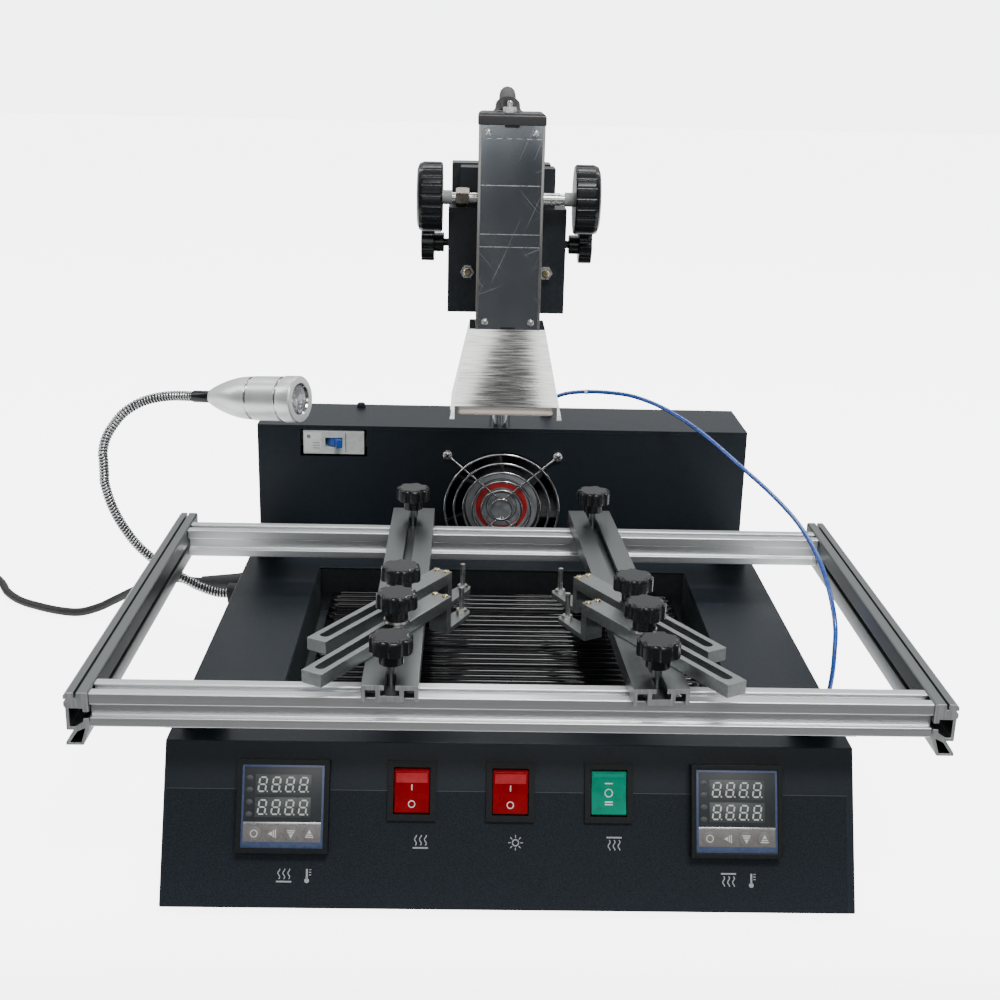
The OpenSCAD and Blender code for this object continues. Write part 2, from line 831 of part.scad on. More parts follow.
// Fan rotor: cup, blades and shaft
module fan_rotor() {
    color([0.35, 0.36, 0.38]) at_front() translate([0, fan_y, fan_z]) rotate([-90, 0, 0]) {
        difference() {
            translate([0, 0, 2])
                cylinder(r = hub_r, h = fan_t - 6);
            translate([0, 0, 4])
                cylinder(r = hub_r - 2, h = fan_t);
        }
        translate([0, 0, 3])
            cylinder(r = shaft_r, h = fan_t - 5);
        intersection() {
            translate([0, 0, 2])
                cylinder(r = duct_r - 1.2, h = fan_t - 6);
            difference() {
                for (k = [0:blade_count - 1])
                    rotate(k * 360 / blade_count)
                        translate([hub_r - 1, 0, fan_t / 2 - 1])
                            rotate([38, 0, 0])
                                translate([0, -0.8, -fan_t / 2])
                                    cube([duct_r, 1.6, fan_t]);
                translate([0, 0, -1])
                    cylinder(r = hub_r - 1, h = fan_t);
            }
        }
    }
}

// A straight wire between two points
module wire(a, b) {
    v = b - a;
    translate(a)
        rotate([0, acos(v[2] / norm(v)), atan2(v[1], v[0])])
            cylinder(d = guard_wire, h = norm(v), $fn = 16);
}

// Chrome wire guard: rings on two V struts with four screw eyes
module fan_guard() {
    p = fan_pitch / 2;
    stub = unit([p, strut_low - p, 0]) * (eye_r - 0.6);
    color("silver") at_front() translate([0, tower_y, fan_z]) rotate([90, 0, 0]) {
        for (r = [ring_outer:-ring_step:ring_step])
            translate([0, 0, ring_lift])
                rotate_extrude()
                    translate([r, 0])
                        circle(d = guard_wire, $fn = 16);
        for (s = [-1, 1])
            for (m = [0, 1])
                mirror([m, 0, 0])
                    mirror([0, s < 0 ? 1 : 0, 0]) {
                        wire([-p + stub[0], p + stub[1], strut_lift], [0, strut_low, strut_lift]);
                        translate([-p, p, 0])
                            difference() {
                                cylinder(r = eye_r, h = guard_wire);
                                translate([0, 0, -1])
                                    cylinder(r = 2.2, h = guard_wire + 2);
                            }
                    }
    }
}

// Section of a side rail, outer face at x = 0: lipped top, T-slot in the inner face, hollow three-sided foot
module side_section() {
    lip = side_w - 3;
    difference() {
        polygon([[0, 0], [side_w - 3.6, 0], [side_w - 0.8, 8], [side_w, mouth_low], [side_w, side_h - 0.8],
            [side_w - 0.8, side_h], [1.6, side_h], [0, side_h - 1.6], [0, side_h - 7.4], [0.8, side_h - 8.2],
            [0.8, 8.4], [4.6, 8.4], [0, 1.6]]);
        polygon([[side_w + 1, mouth_low], [side_w + 1, mouth_high], [lip, mouth_high], [lip, mouth_high + 2],
            [2.6, mouth_high + 2], [2.6, mouth_low - 4.6], [5.4, mouth_low - 4.6], [lip, mouth_low - 1.8],
            [lip, mouth_low]]);
        polygon([[1.9, 1.4], [side_w - 4.7, 1.4], [side_w - 2.2, 9.6], [6.2, 7.6]]);
        translate([5.4, side_h - 3.2])
            square([1.3, 4]);
        translate([-1, side_h - 5])
            square([2.6, 1.4]);
    }
}

module side_rails() {
    color("silver") at_front()
        for (m = [0, 1])
            mirror([m, 0, 0])
                translate([-frame_w / 2, side_y, side_z])
                    along_y(side_l)
                        side_section();
}

// Section of a cross rail: T-slot in the top, open channels in front and behind
module cross_section() {
    difference() {
        translate([-cross_d / 2, 0])
            square([cross_d, cross_h]);
        translate([0, cross_h])
            slot_section(2.6);
        for (s = [-1, 1])
            translate([s * (cross_d - channel_d + 1) / 2, cross_h * 0.475])
                square([channel_d + 1, channel_h], center = true);
    }
}

module cross_rails() {
    color("silver") at_front()
        for (y = [front_y, rear_y])
            translate([-cross_l / 2, y, rail_z])
                along_x(cross_l)
                    cross_section();
}

// A cranked bracket: upper tab under a rail, riser behind it, foot on the deck
module frame_bracket(near, riser) {
    translate([-tab_w / 2, 0, 0])
        along_x(tab_w)
            polygon([[near, rail_z - tab_t], [riser, rail_z - tab_t], [riser, deck_h],
                [riser + tab_w, deck_h], [riser + tab_w, deck_h + tab_t],
                [riser + tab_t, deck_h + tab_t], [riser + tab_t, rail_z], [near, rail_z]]);
}

// Brackets of the frame: two behind the front rail, two behind the rear rail
module frame_posts() {
    color([0.1, 0.1, 0.11]) at_front()
        for (s = [-1, 1])
            translate([s * post_x, 0, 0]) {
                frame_bracket(front_y - 3, front_y + front_riser);
                frame_bracket(rear_y + 1, rear_y + rear_riser);
            }
}

// Glands: lamp neck nut, mains strain relief, and two sensor lead ends
module cable_glands() {
    color([0.07, 0.07, 0.08]) at_front() {
        translate([-case_w / 2, neck_lower_route[0][1], neck_lower_route[0][2]])
            rotate([0, -90, 0])
                cylinder(r = neck_nut_r, h = neck_nut_l);
        translate([-case_w / 2, lead_route[0][1], lead_route[0][2]])
            rotate([0, -90, 0])
                rotate_extrude()
                    polygon([[0, 0], [gland_r, 0], [gland_r, 6], [gland_r - 1.5, 8], [gland_r - 2.2, 12],
                        [lead_dia / 2 + 1, gland_l],
                        [0, gland_l]]);
        translate([case_w / 2, sensor_end[1], sensor_end[2]])
            rotate([0, 90, 0])
                cylinder(r = sensor_dia + 2, h = sensor_end[0] - case_w / 2);
        translate([sensor_from[0], sensor_from[1], tower_h])
            cylinder(r = sensor_dia + 1.5, h = grommet_h);
    }
}

module mains_lead() {
    color([0.05, 0.05, 0.05]) at_front()
        tube(curve(lead_route, 2), lead_dia / 2, 10);
}

// Coil of the lead's unseen length, lying on the floor
module mains_coil() {
    color([0.05, 0.05, 0.05]) at_front()
        translate([coil_at[0], coil_at[1], -foot_h])
            rotate_extrude()
                translate([coil_r - coil_w / 2, 0])
                    square([coil_w, coil_h]);
}

// Plug beside the coil, its two round pins pointing to the front
module mains_plug() {
    color([0.06, 0.06, 0.06]) at_front() translate([plug_x, coil_at[1] - 20, plug_z]) {
        rotate([90, 0, 0])
            rotate_extrude()
                polygon([[0, 0], [lead_dia / 2 + 0.6, 0], [5, 24], [0, 24]]);
        translate([-plug_w / 2, -24 - plug_l, -plug_t / 2])
            cube([plug_w, plug_l, plug_t]);
        for (s = [-1, 1])
            translate([s * 9.5, -24 - plug_l, 0])
                rotate([90, 0, 0])
                    cylinder(r = 2.4, h = 19);
    }
}

module sensor_lead() {
    color("royalblue") at_front()
        tube(curve(sensor_route, 3), sensor_dia / 2, 8);
}

module lamp_neck_lower() {
    color("silver") at_front() difference() {
        tube(curve(neck_lower_route, 2), neck_dia / 2, 12);
        translate(neck_joint - [wall, 0, 0])
            rotate([90, 0, 0])
                cylinder(r = knuckle_r + run_gap, h = 2 * neck_dia, center = true);
    }
}

module lamp_neck_upper() {
    color("silver") at_front() {
        tube(curve(neck_upper_route, 2), neck_dia / 2, 12);
        translate(neck_joint - [wall, 0, 0]) {
            rotate([90, 0, 0])
                cylinder(r = knuckle_r, h = neck_dia * 0.6, center = true);
            block([knuckle_r, neck_dia * 0.6, neck_gap]);
        }
    }
}

// Lamp: sleeve, ogive tail, barrel with two ring grooves and a lens behind the face ring
module lamp_head() {
    r = lamp_dia / 2;
    sleeve = neck_dia / 2 + 0.6;
    tail = 14;
    face = tail + lamp_l;
    ring_a = tail + 34.2;
    ring_b = tail + 57.4;
    color("lightgray") at_front() translate(neck_upper_route[len(neck_upper_route) - 1])
        rotate(lamp_turn) {
            rotate_extrude()
                polygon([[0, 0], [sleeve, 0], [sleeve, tail], [sleeve + 0.9, tail], [r * 0.53, tail + 4.5],
                    [r * 0.69, tail + 11], [r * 0.82, tail + 18.5], [r * 0.9, tail + 26], [r * 0.94, ring_a],
                    [r * 0.9, ring_a + 0.3], [r * 0.9, ring_a + 1.6], [r * 0.955, ring_a + 1.9],
                    [r * 0.97, ring_b], [r * 0.92, ring_b + 0.3], [r * 0.92, ring_b + 1.6],
                    [r * 0.98, ring_b + 1.9], [r, ring_b + 2.8], [r, face - 0.7], [r - 0.6, face],
                    [r - 4.6, face], [r - 5, face - 6], [0, face - 6]]);
            translate([0, 0, face - 6])
                cylinder(r = r - 5, h = 2);
        }
}

// Section of a cross beam: T-slot in the top, two channels below
module beam_section() {
    difference() {
        translate([-beam_w / 2, 0])
            square([beam_w, beam_h]);
        translate([0, beam_h])
            slot_section(2.6);
        for (s = [-1, 1])
            translate([s * (beam_w / 2 - 4.6) - 2.6, -1])
                square([5.2, beam_h - 1.6]);
    }
}

// Cross beam with the two square bolts that clamp it to the cross rails
module beam(side) {
    place = beam_places[side];
    seat = rail_top - 2.6 - slide_gap;
    color([0.78, 0.79, 0.8]) at_front() {
        difference() {
            translate([place[0], beam_y, beam_z])
                rotate(place[1])
                    translate([0, -beam_l / 2, 0])
                        along_y(beam_l)
                            beam_section();
            for (y = [front_y, rear_y])
                translate([beam_point(side, y)[0], y, beam_z - 1])
                    cylinder(r = bolt_dia / 2 + fit_gap, h = beam_h);
        }
        for (y = [front_y, rear_y])
            translate([beam_point(side, y)[0], y, seat])
                square_bolt(clamp_knob_z + boss_t + star_t - 4 - seat);
    }
}

module beam_left() {
    beam(0);
}

module beam_right() {
    beam(1);
}

// Clamp knob over a cross rail
module clamp_knob(side, y) {
    color([0.06, 0.06, 0.06]) at_front()
        translate([beam_point(side, y)[0], y, clamp_knob_z])
            star_knob();
}

module clamp_knob_left_rear() {
    clamp_knob(0, rear_y);
}

module clamp_knob_left_front() {
    clamp_knob(0, front_y);
}

module clamp_knob_right_rear() {
    clamp_knob(1, rear_y);
}

module clamp_knob_right_front() {
    clamp_knob(1, front_y);
}

// A frame on arm i's bolt: Z up from the case's underside, turned by a
module on_bolt(i, a) {
    side = arm_side(i);
    at_front()
        translate([beam_point(side, arm_bolt_y[i])[0], arm_bolt_y[i], 0])
            rotate(a)
                children();
}

// Square bolt sliding in a beam's slot
module arm_bolt(i) {
    seat = beam_top - 2.6 - slide_gap;
    color("silver") on_bolt(i, beam_places[arm_side(i)][1])
        translate([0, 0, seat])
            square_bolt(arm_knob_z + boss_t + star_t - 4 - seat);
}

module bolt_left_rear() {
    arm_bolt(0);
}

module bolt_left_front() {
    arm_bolt(1);
}

module bolt_right_rear() {
    arm_bolt(2);
}

module bolt_right_front() {
    arm_bolt(3);
}

// Washer between an arm and its knob
module arm_washer(i) {
    color("silver") on_bolt(i, arm_angle[i])
        translate([0, 0, washer_z])
            difference() {
                cylinder(r = washer_r, h = washer_t);
                translate([0, 0, -1])
                    cylinder(r = bolt_dia / 2 + run_gap, h = washer_t + 2);
            }
}

module washer_left_rear() {
    arm_washer(0);
}

module washer_left_front() {
    arm_washer(1);
}

module washer_right_rear() {
    arm_washer(2);
}

module washer_right_front() {
    arm_washer(3);
}

// A slot with round ends along X
module round_slot(x0, x1, w, h) {
    for (x = [x0, x1])
        translate([x, 0, 0])
            cylinder(d = w, h = h);
    translate([x0, -w / 2, 0])
        cube([x1 - x0, w, h]);
}

// Arm: slotted bar, end plate, foot and upright board pin
module arm(i) {
    reach = arm_reach[i];
    far = reach - bar_l;
    color([0.85, 0.85, 0.86]) on_bolt(i, arm_angle[i]) {
        difference() {
            translate([far, -bar_w / 2, bar_z])
                cube([bar_l - plate_thick, bar_w, bar_t]);
            translate([0, 0, bar_z - 1])
                round_slot(far + 8, slot_past, bar_slot, bar_t + 2);
        }
        translate([reach - plate_thick, -bar_w / 2, foot_z])
            cube([plate_thick, bar_w, bar_z + bar_t - foot_z]);
        difference() {
            translate([reach, 0, foot_z])
                linear_extrude(foot_t)
                    polygon([[0, -bar_w / 2], [foot_l - 4, -bar_w / 2 + 2], [foot_l, -bar_w / 2 + 4],
                        [foot_l, bar_w / 2 - 4], [foot_l - 4, bar_w / 2 - 2], [0, bar_w / 2]]);
            translate([reach + pin_x, 0, foot_z - 1])
                cylinder(d = pin_dia, h = foot_t + 2);
        }
        translate([reach + pin_x, 0, foot_z])
            cylinder(d = pin_dia, h = foot_t + pin_h);
    }
}

module arm_left_rear() {
    arm(0);
}

module arm_left_front() {
    arm(1);
}

module arm_right_rear() {
    arm(2);
}

module arm_right_front() {
    arm(3);
}

// Star knob on an arm's bolt
module arm_knob(i) {
    color([0.06, 0.06, 0.06]) on_bolt(i, 10)
        translate([0, 0, arm_knob_z])
            star_knob();
}

module arm_knob_left_rear() {
    arm_knob(0);
}

module arm_knob_left_front() {
    arm_knob(1);
}

module arm_knob_right_rear() {
    arm_knob(2);
}

module arm_knob_right_front() {
    arm_knob(3);
}

// Mast: bright round bar standing in the tower's socket
module mast() {
    color("silver") at_front()
        translate([mast_x, mast_yy, mast_z])
            cylinder(d = mast_dia, h = mast_top - mast_z);
}

// Carriage: slide housing, block, crown, shoulder and the clamp on the mast, cast in one
module carriage() {
    channel = house_top - house_z + 2;
    grip = mast_yy - block_y - block_d;
    color([0.1, 0.1, 0.11]) at_front() translate([mast_x, 0, 0]) {
        difference() {
            union() {
                translate([-house_w / 2, house_y, house_z])
                    cube([house_w, block_y + 1 - house_y, house_top - house_z]);
                translate([-block_w / 2, block_y, block_z])
                    cube([block_w, block_d, block_h]);
                translate([-crown_w / 2, crown_y, block_z + block_h - 1])
                    cube([crown_w, block_y + block_d - crown_y, crown_h + 1]);
                translate([-clamp_r, block_y + block_d - 1, block_z])
                    cube([2 * clamp_r, grip + 1, block_h]);
                translate([shoulder_x, block_y + block_d - 1, block_z + block_h / 2])
                    cube([shoulder_w, shoulder_d, block_h / 2 + crown_h + 1]);
                translate([0, mast_yy, block_z])
                    cylinder(r = clamp_r, h = block_h);
            }
            translate([0, mast_yy, block_z - 1])
                cylinder(r = mast_dia / 2 + run_gap, h = block_h + 2);
            translate([-1, mast_yy, block_z - 1])
                cube([2, clamp_r + 1, block_h + 2]);
            translate([-neck_w / 2 - slide_gap, house_y - 1, house_z - 1])
                cube([neck_w + 2 * slide_gap, neck_d + 2, channel]);
            translate([-tee_w / 2 - slide_gap, slide_y + neck_d - slide_gap, house_z - 1])
                cube([tee_w + 2 * slide_gap, tee_d + 2 * slide_gap, channel]);
            translate([-pinion_w / 2 - slide_gap, rack_root, house_z - 1])
                cube([pinion_w + 2 * slide_gap, rack_ded + rack_add + 2 * slide_gap, channel]);
            translate([0, pinion_y, pinion_z])
                rotate([0, 90, 0]) {
                    cylinder(r = pocket_r, h = pinion_w + 1, center = true);
                    cylinder(r = shaft_dia / 2 + run_gap, h = block_w, center = true);
                }
            for (s = [-1, 1])
                translate([s * block_w / 2, lock_y, lock_z])
                    rotate([0, 90, 0])
                        cylinder(r = bolt_dia / 2 + run_gap, h = 2 * lock_in + 1, center = true);
        }
        translate([cable_end[0] - mast_x, cable_end[1], crown_top])
            cylinder(r = cable_dia / 2 + 2, h = grommet_h);
    }
}

// Pinion: straight-sided teeth that mesh with the rack
module pinion_section() {
    step = 360 / pinion_teeth;
    tip = pitch_r + rack_add;
    root = pitch_r - rack_ded;
    polygon([for (k = [0:pinion_teeth - 1]) for (q = [[-0.31, root], [-0.1, tip], [0.1, tip], [0.31, root]])
        [-q[1] * cos((k + q[0]) * step), q[1] * sin((k + q[0]) * step)]]);
}

// Hand knob standing on z = 0: shallow flutes and a rounded outer rim
module hand_knob() {
    r = height_knob / 2;
    difference() {
        rotate_extrude()
            polygon([[0, 0], [r - 1, 0], [r, 1], [r, height_knob_t - knob_round],
                [r - 0.3 * knob_round, height_knob_t - 0.3 * knob_round], [r - knob_round, height_knob_t],
                [0, height_knob_t]]);
        for (k = [0:flutes - 1])
            rotate(k * 360 / flutes)
                translate([r + 1.7, 0, -1])
                    cylinder(r = 2.2, h = height_knob_t + 2, $fn = 16);
    }
    translate([0, 0, 1 - knob_collar])
        cylinder(d = shaft_dia + 2.5, h = knob_collar);
}

// Shaft with the pinion and a hand knob at each end
module pinion_shaft() {
    color([0.3, 0.3, 0.32]) at_front() translate([mast_x, pinion_y, pinion_z]) {
        translate([-pinion_w / 2, 0, 0])
            along_x(pinion_w)
                pinion_section();
        rotate([0, 90, 0])
            cylinder(d = shaft_dia, h = 2 * (knob_out + height_knob_t) - 4, center = true);
        for (s = [-1, 1])
            translate([s * knob_out, 0, 0])
                rotate([0, s * 90, 0])
                    hand_knob();
    }
}

// Lock knob on a side of the block, with its stud in the block
module lock_knob(s) {
    color([0.06, 0.06, 0.06]) at_front()
        translate([mast_x + s * (block_w / 2 + lock_lift), lock_y, lock_z])
            rotate([0, s * 90, 0]) {
                star_knob(lock_dia);
                translate([0, 0, 1 - lock_lift - lock_in])
                    cylinder(d = bolt_dia, h = lock_in + lock_lift + boss_t + star_t - 4);
            }
}

module lock_knob_left() {
    lock_knob(-1);
}

module lock_knob_right() {
    lock_knob(1);
}

// Teeth of the rack along Z, with one gap at the pinion's height
module rack_section() {
    lowest = ceil((rack_z + rack_pitch - pinion_z) / rack_pitch - 0.5);
    highest = floor((rack_z + rack_l - rack_pitch - pinion_z) / rack_pitch - 0.5);
    high = rack_ded + rack_add;
    for (k = [lowest:highest])
        translate([0, (k + 0.5) * rack_pitch])
            polygon([[-0.1, -0.36 * rack_pitch], [high, -0.09 * rack_pitch], [high, 0.09 * rack_pitch],
                [-0.1, 0.36 * rack_pitch]]);
}

// Head: sheet box open to the front, moulded cap with the cable's gland, and the slide with its rack
module head_box() {
    top = head_z + head_h;
    color([0.16, 0.16, 0.17]) at_front() translate([mast_x, 0, 0]) {
        difference() {
            translate([-head_w / 2, head_y, head_z])
                cube([head_w, head_d, head_h]);
            translate([cover_t - head_w / 2, head_y - 1, head_z + cover_t])
                cube([head_w - 2 * cover_t, head_d - cover_t + 1, head_h - 2 * cover_t]);
        }
        translate([-head_w / 2 - cap_over, head_y - cover_t - cap_over, top])
            cube([head_w + 2 * cap_over, head_d + cover_t + cap_over, cap_h]);
        translate([cable_from[0] - mast_x, cable_from[1], cable_from[2]])
            rotate([-45, 0, 0])
                translate([0, 0, -gland_in])
                    intersection() {
                        cylinder(r = cable_dia / 2 + 2.5, h = gland_in);
                        rotate([45, 0, 0])
                            translate([-20, -20, -3.5 + gland_in * sin(45)])
                                cube([40, 40, 20]);
                    }
        translate([-neck_w / 2, slide_y, rack_z])
            cube([neck_w, neck_d + tee_d / 2, rack_l]);
        translate([-tee_w / 2, slide_y + neck_d, rack_z])
            cube([tee_w, tee_d, rack_l]);
        translate([-pinion_w / 2, rack_root, pinion_z])
            along_x(pinion_w)
                rack_section();
    }
}

// Bright cover plate on the front of the head
module head_cover() {
    color("white") at_front()
        translate([mast_x - head_w / 2, head_y - cover_t, head_z])
            cube([head_w, cover_t, head_h]);
}

// Frustum between the head's width and the lower edge, set in by skin
module shroud_solid(skin, low) {
    hull() {
        translate([mast_x, head_y + head_d / 2, head_z - cover_t])
            block([shroud_top - 2 * skin, head_d - 2 * skin, cover_t]);
        translate([mast_x, shroud_y, shroud_z - low])
            block([shroud_low - 2 * skin, shroud_low - 2 * skin, 0.01]);
    }
}

// Shroud: folded sheet skirt around the emitter, higher in front and behind than at the sides
module shroud() {
    color([0.75, 0.75, 0.76]) at_front() {
        difference() {
            shroud_solid(0, 0);
            shroud_solid(cover_t, 1);
            translate([mast_x, shroud_y, shroud_z - 1])
                block([shroud_low - 6, 2 * shroud_low, shroud_cut + 1]);
        }
        translate([mast_x, head_y + head_d / 2, head_z - cover_t])
            block([shroud_top - cover_t, head_d - cover_t, cover_t]);
    }
}

// Ceramic emitter on its stem
module emitter_plate() {
    color("mistyrose") at_front() {
        translate([mast_x, emitter_y, emitter_z])
            block([emitter, emitter, emitter_t]);
        translate([mast_x, head_y + head_d / 2, emitter_z + emitter_t - 1])
            block([stem_w, stem_d, head_z - cover_t - emitter_z - emitter_t + 1]);
    }
}

module head_cable() {
    color([0.12, 0.12, 0.13]) at_front()
        tube(curve(cable_route, 2), cable_dia / 2, 12);
}

base_pan();
console_cover();
rear_tower();
rubber_feet();
heater_well();
preheat_plates();
controller_left();
controller_right();
switch_frames();
breaker_body();
fan_frame();
fan_guard();
side_rails();
cross_rails();
frame_posts();
cable_glands();
mains_lead();
mains_coil();
mains_plug();
sensor_lead();
lamp_neck_lower();
preheat_rocker();
lamp_rocker();
weld_rocker();
breaker_toggle();
fan_rotor();
beam_left();
beam_right();
clamp_knob_left_rear();
clamp_knob_left_front();
clamp_knob_right_rear();
clamp_knob_right_front();
bolt_left_rear();
bolt_left_front();
bolt_right_rear();
bolt_right_front();
washer_left_rear();
washer_left_front();
washer_right_rear();
washer_right_front();
arm_left_rear();
arm_left_front();
arm_right_rear();
arm_right_front();
arm_knob_left_rear();
arm_knob_left_front();
arm_knob_right_rear();
arm_knob_right_front();
mast();
carriage();
pinion_shaft();
lock_knob_left();
lock_knob_right();
head_box();
head_cover();
shroud();
emitter_plate();
head_cable();
lamp_neck_upper();
lamp_head();
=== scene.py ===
import json
import math

import bmesh
import bpy
from mathutils import Matrix, Vector

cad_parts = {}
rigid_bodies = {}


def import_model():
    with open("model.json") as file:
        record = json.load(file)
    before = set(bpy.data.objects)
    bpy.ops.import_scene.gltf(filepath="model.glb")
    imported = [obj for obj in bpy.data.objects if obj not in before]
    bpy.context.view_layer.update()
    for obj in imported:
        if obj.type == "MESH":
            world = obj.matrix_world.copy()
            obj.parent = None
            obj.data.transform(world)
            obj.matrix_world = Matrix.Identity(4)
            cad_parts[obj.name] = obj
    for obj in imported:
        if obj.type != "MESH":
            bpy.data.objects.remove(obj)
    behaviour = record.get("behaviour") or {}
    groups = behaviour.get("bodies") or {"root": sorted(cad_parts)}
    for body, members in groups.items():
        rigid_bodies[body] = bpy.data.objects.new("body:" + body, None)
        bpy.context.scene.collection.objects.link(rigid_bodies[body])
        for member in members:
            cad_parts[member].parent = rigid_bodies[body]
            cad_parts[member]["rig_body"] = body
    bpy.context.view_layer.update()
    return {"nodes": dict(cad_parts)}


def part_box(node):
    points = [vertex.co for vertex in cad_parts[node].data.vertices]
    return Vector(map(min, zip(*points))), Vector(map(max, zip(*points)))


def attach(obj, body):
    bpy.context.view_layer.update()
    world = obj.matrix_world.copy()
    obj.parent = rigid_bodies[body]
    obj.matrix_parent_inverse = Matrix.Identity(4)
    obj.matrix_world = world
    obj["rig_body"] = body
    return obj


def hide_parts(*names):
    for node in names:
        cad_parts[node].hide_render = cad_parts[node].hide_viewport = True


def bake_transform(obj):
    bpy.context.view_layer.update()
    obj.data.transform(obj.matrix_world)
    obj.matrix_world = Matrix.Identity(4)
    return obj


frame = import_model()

# Camera: it stands in front of the bench, a little left of the middle, looking slightly down.
# Its place and lens follow from the edges of the case and the rails.
case_front = -0.221
camera_place = Vector((-0.0241, case_front - 0.6286, 0.4254))
camera_pitch = math.radians(17.63)
camera_yaw = math.radians(1.31)
camera_roll = math.radians(1.35)
ahead = Vector((math.sin(camera_yaw) * math.cos(camera_pitch),
                math.cos(camera_yaw) * math.cos(camera_pitch), -math.sin(camera_pitch)))
level = Vector((math.cos(camera_yaw), -math.sin(camera_yaw), 0))
upward = level.cross(ahead)
camera_x = level * math.cos(camera_roll) + upward * math.sin(camera_roll)
camera_y = upward * math.cos(camera_roll) - level * math.sin(camera_roll)
put_in_scene = bpy.context.scene.collection.objects.link
camera = bpy.data.objects.new("camera", bpy.data.cameras.new("camera"))
camera.data.lens = 50.1
camera.data.sensor_width = 36
camera.data.sensor_fit = "HORIZONTAL"
camera.matrix_world = (Matrix.Translation(camera_place)
                       @ Matrix((camera_x, camera_y, -ahead)).transposed().to_4x4())
put_in_scene(camera)
bpy.context.scene.camera = camera


# Floor and light: a plain white bench in a white room, as the eye sees it from every side.
# What the metal mirrors is dimmer towards the front, and long panels draw highlights along the rails.
def surface(name, dark, light, grain, roughness, metallic=0.0, relief=0.0, stretch=(1, 1, 1), spread=0.08,
            detail=4.0, specular=0.5, coat=0.0):
    """A procedural finish: colour, gloss and relief vary with one noise on Object coordinates."""
    material = bpy.data.materials.new(name)
    material.use_nodes = True
    nodes, links = material.node_tree.nodes, material.node_tree.links
    shader = nodes["Principled BSDF"]
    shader.inputs["Metallic"].default_value = metallic
    shader.inputs["Specular IOR Level"].default_value = specular
    shader.inputs["Coat Weight"].default_value = coat
    place = nodes.new("ShaderNodeTexCoord")
    mapping = nodes.new("ShaderNodeMapping")
    mapping.inputs["Scale"].default_value = stretch
    links.new(place.outputs["Object"], mapping.inputs["Vector"])
    noise = nodes.new("ShaderNodeTexNoise")
    noise.inputs["Scale"].default_value = grain
    noise.inputs["Detail"].default_value = detail
    links.new(mapping.outputs["Vector"], noise.inputs["Vector"])
    ramp = nodes.new("ShaderNodeValToRGB")
    ramp.color_ramp.elements[0].position = 0.32
    ramp.color_ramp.elements[0].color = (*dark, 1)
    ramp.color_ramp.elements[1].position = 0.68
    ramp.color_ramp.elements[1].color = (*light, 1)
    links.new(noise.outputs["Fac"], ramp.inputs["Fac"])
    links.new(ramp.outputs["Color"], shader.inputs["Base Color"])
    gloss = nodes.new("ShaderNodeMapRange")
    gloss.inputs["From Min"].default_value = 0.3
    gloss.inputs["From Max"].default_value = 0.7
    gloss.inputs["To Min"].default_value = max(roughness - spread, 0.02)
    gloss.inputs["To Max"].default_value = min(roughness + spread, 1)
    links.new(noise.outputs["Fac"], gloss.inputs["Value"])
    links.new(gloss.outputs["Result"], shader.inputs["Roughness"])
    if relief:
        bump = nodes.new("ShaderNodeBump")
        bump.inputs["Strength"].default_value = 0.6
        bump.inputs["Distance"].default_value = relief
        links.new(noise.outputs["Fac"], bump.inputs["Height"])
        links.new(bump.outputs["Normal"], shader.inputs["Normal"])
    return material


floor_gap = 0.0004
floor_half = 9
fade_start, fade_stop = -0.36, -0.20
floor_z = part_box("rubber_feet")[0].z - floor_gap
shape = bmesh.new()
bmesh.ops.create_grid(shape, x_segments=1, y_segments=1, size=floor_half)
bmesh.ops.translate(shape, vec=(0, 0, floor_z), verts=shape.verts)
floor_mesh = bpy.data.meshes.new("floor")
shape.to_mesh(floor_mesh)
shape.free()
bench_white = surface("bench_white", (0.86, 0.86, 0.86), (0.92, 0.92, 0.92), 3, 0.85, specular=0.1)
bench_nodes, bench_links = bench_white.node_tree.nodes, bench_white.node_tree.links
bench_shader = bench_nodes["Principled BSDF"]
bench_place = bench_nodes.new("ShaderNodeTexCoord")
bench_split = bench_nodes.new("ShaderNodeSeparateXYZ")
bench_links.new(bench_place.outputs["Object"], bench_split.inputs["Vector"])


def bench_fade(near, far):
    """A value that grows from the room's side of the bench to the object's."""
    fade = bench_nodes.new("ShaderNodeMapRange")
    fade.interpolation_type = "SMOOTHSTEP"
    fade.inputs["From Min"].default_value = fade_start
    fade.inputs["From Max"].default_value = fade_stop
    fade.inputs["To Min"].default_value = near
    fade.inputs["To Max"].default_value = far
    bench_links.new(bench_split.outputs["Y"], fade.inputs["Value"])
    return fade.outputs["Result"]


seen_white = 4.4
floor_glow = 0.9
floor_base = 0.06, 0.9
room_glow = 0.13, 0.80
room_front, room_back = -0.5, 0.7


def seen_glow(nodes, links, dim, strength):
    """The plain white that is seen directly, over the dimmer glow that the object mirrors."""
    path = nodes.new("ShaderNodeLightPath")
    glow = nodes.new("ShaderNodeMath")
    glow.operation = "MULTIPLY_ADD"
    glow.inputs[1].default_value = seen_white
    links.new(path.outputs["Is Camera Ray"], glow.inputs[0])
    links.new(dim, glow.inputs[2])
    links.new(glow.outputs["Value"], strength)


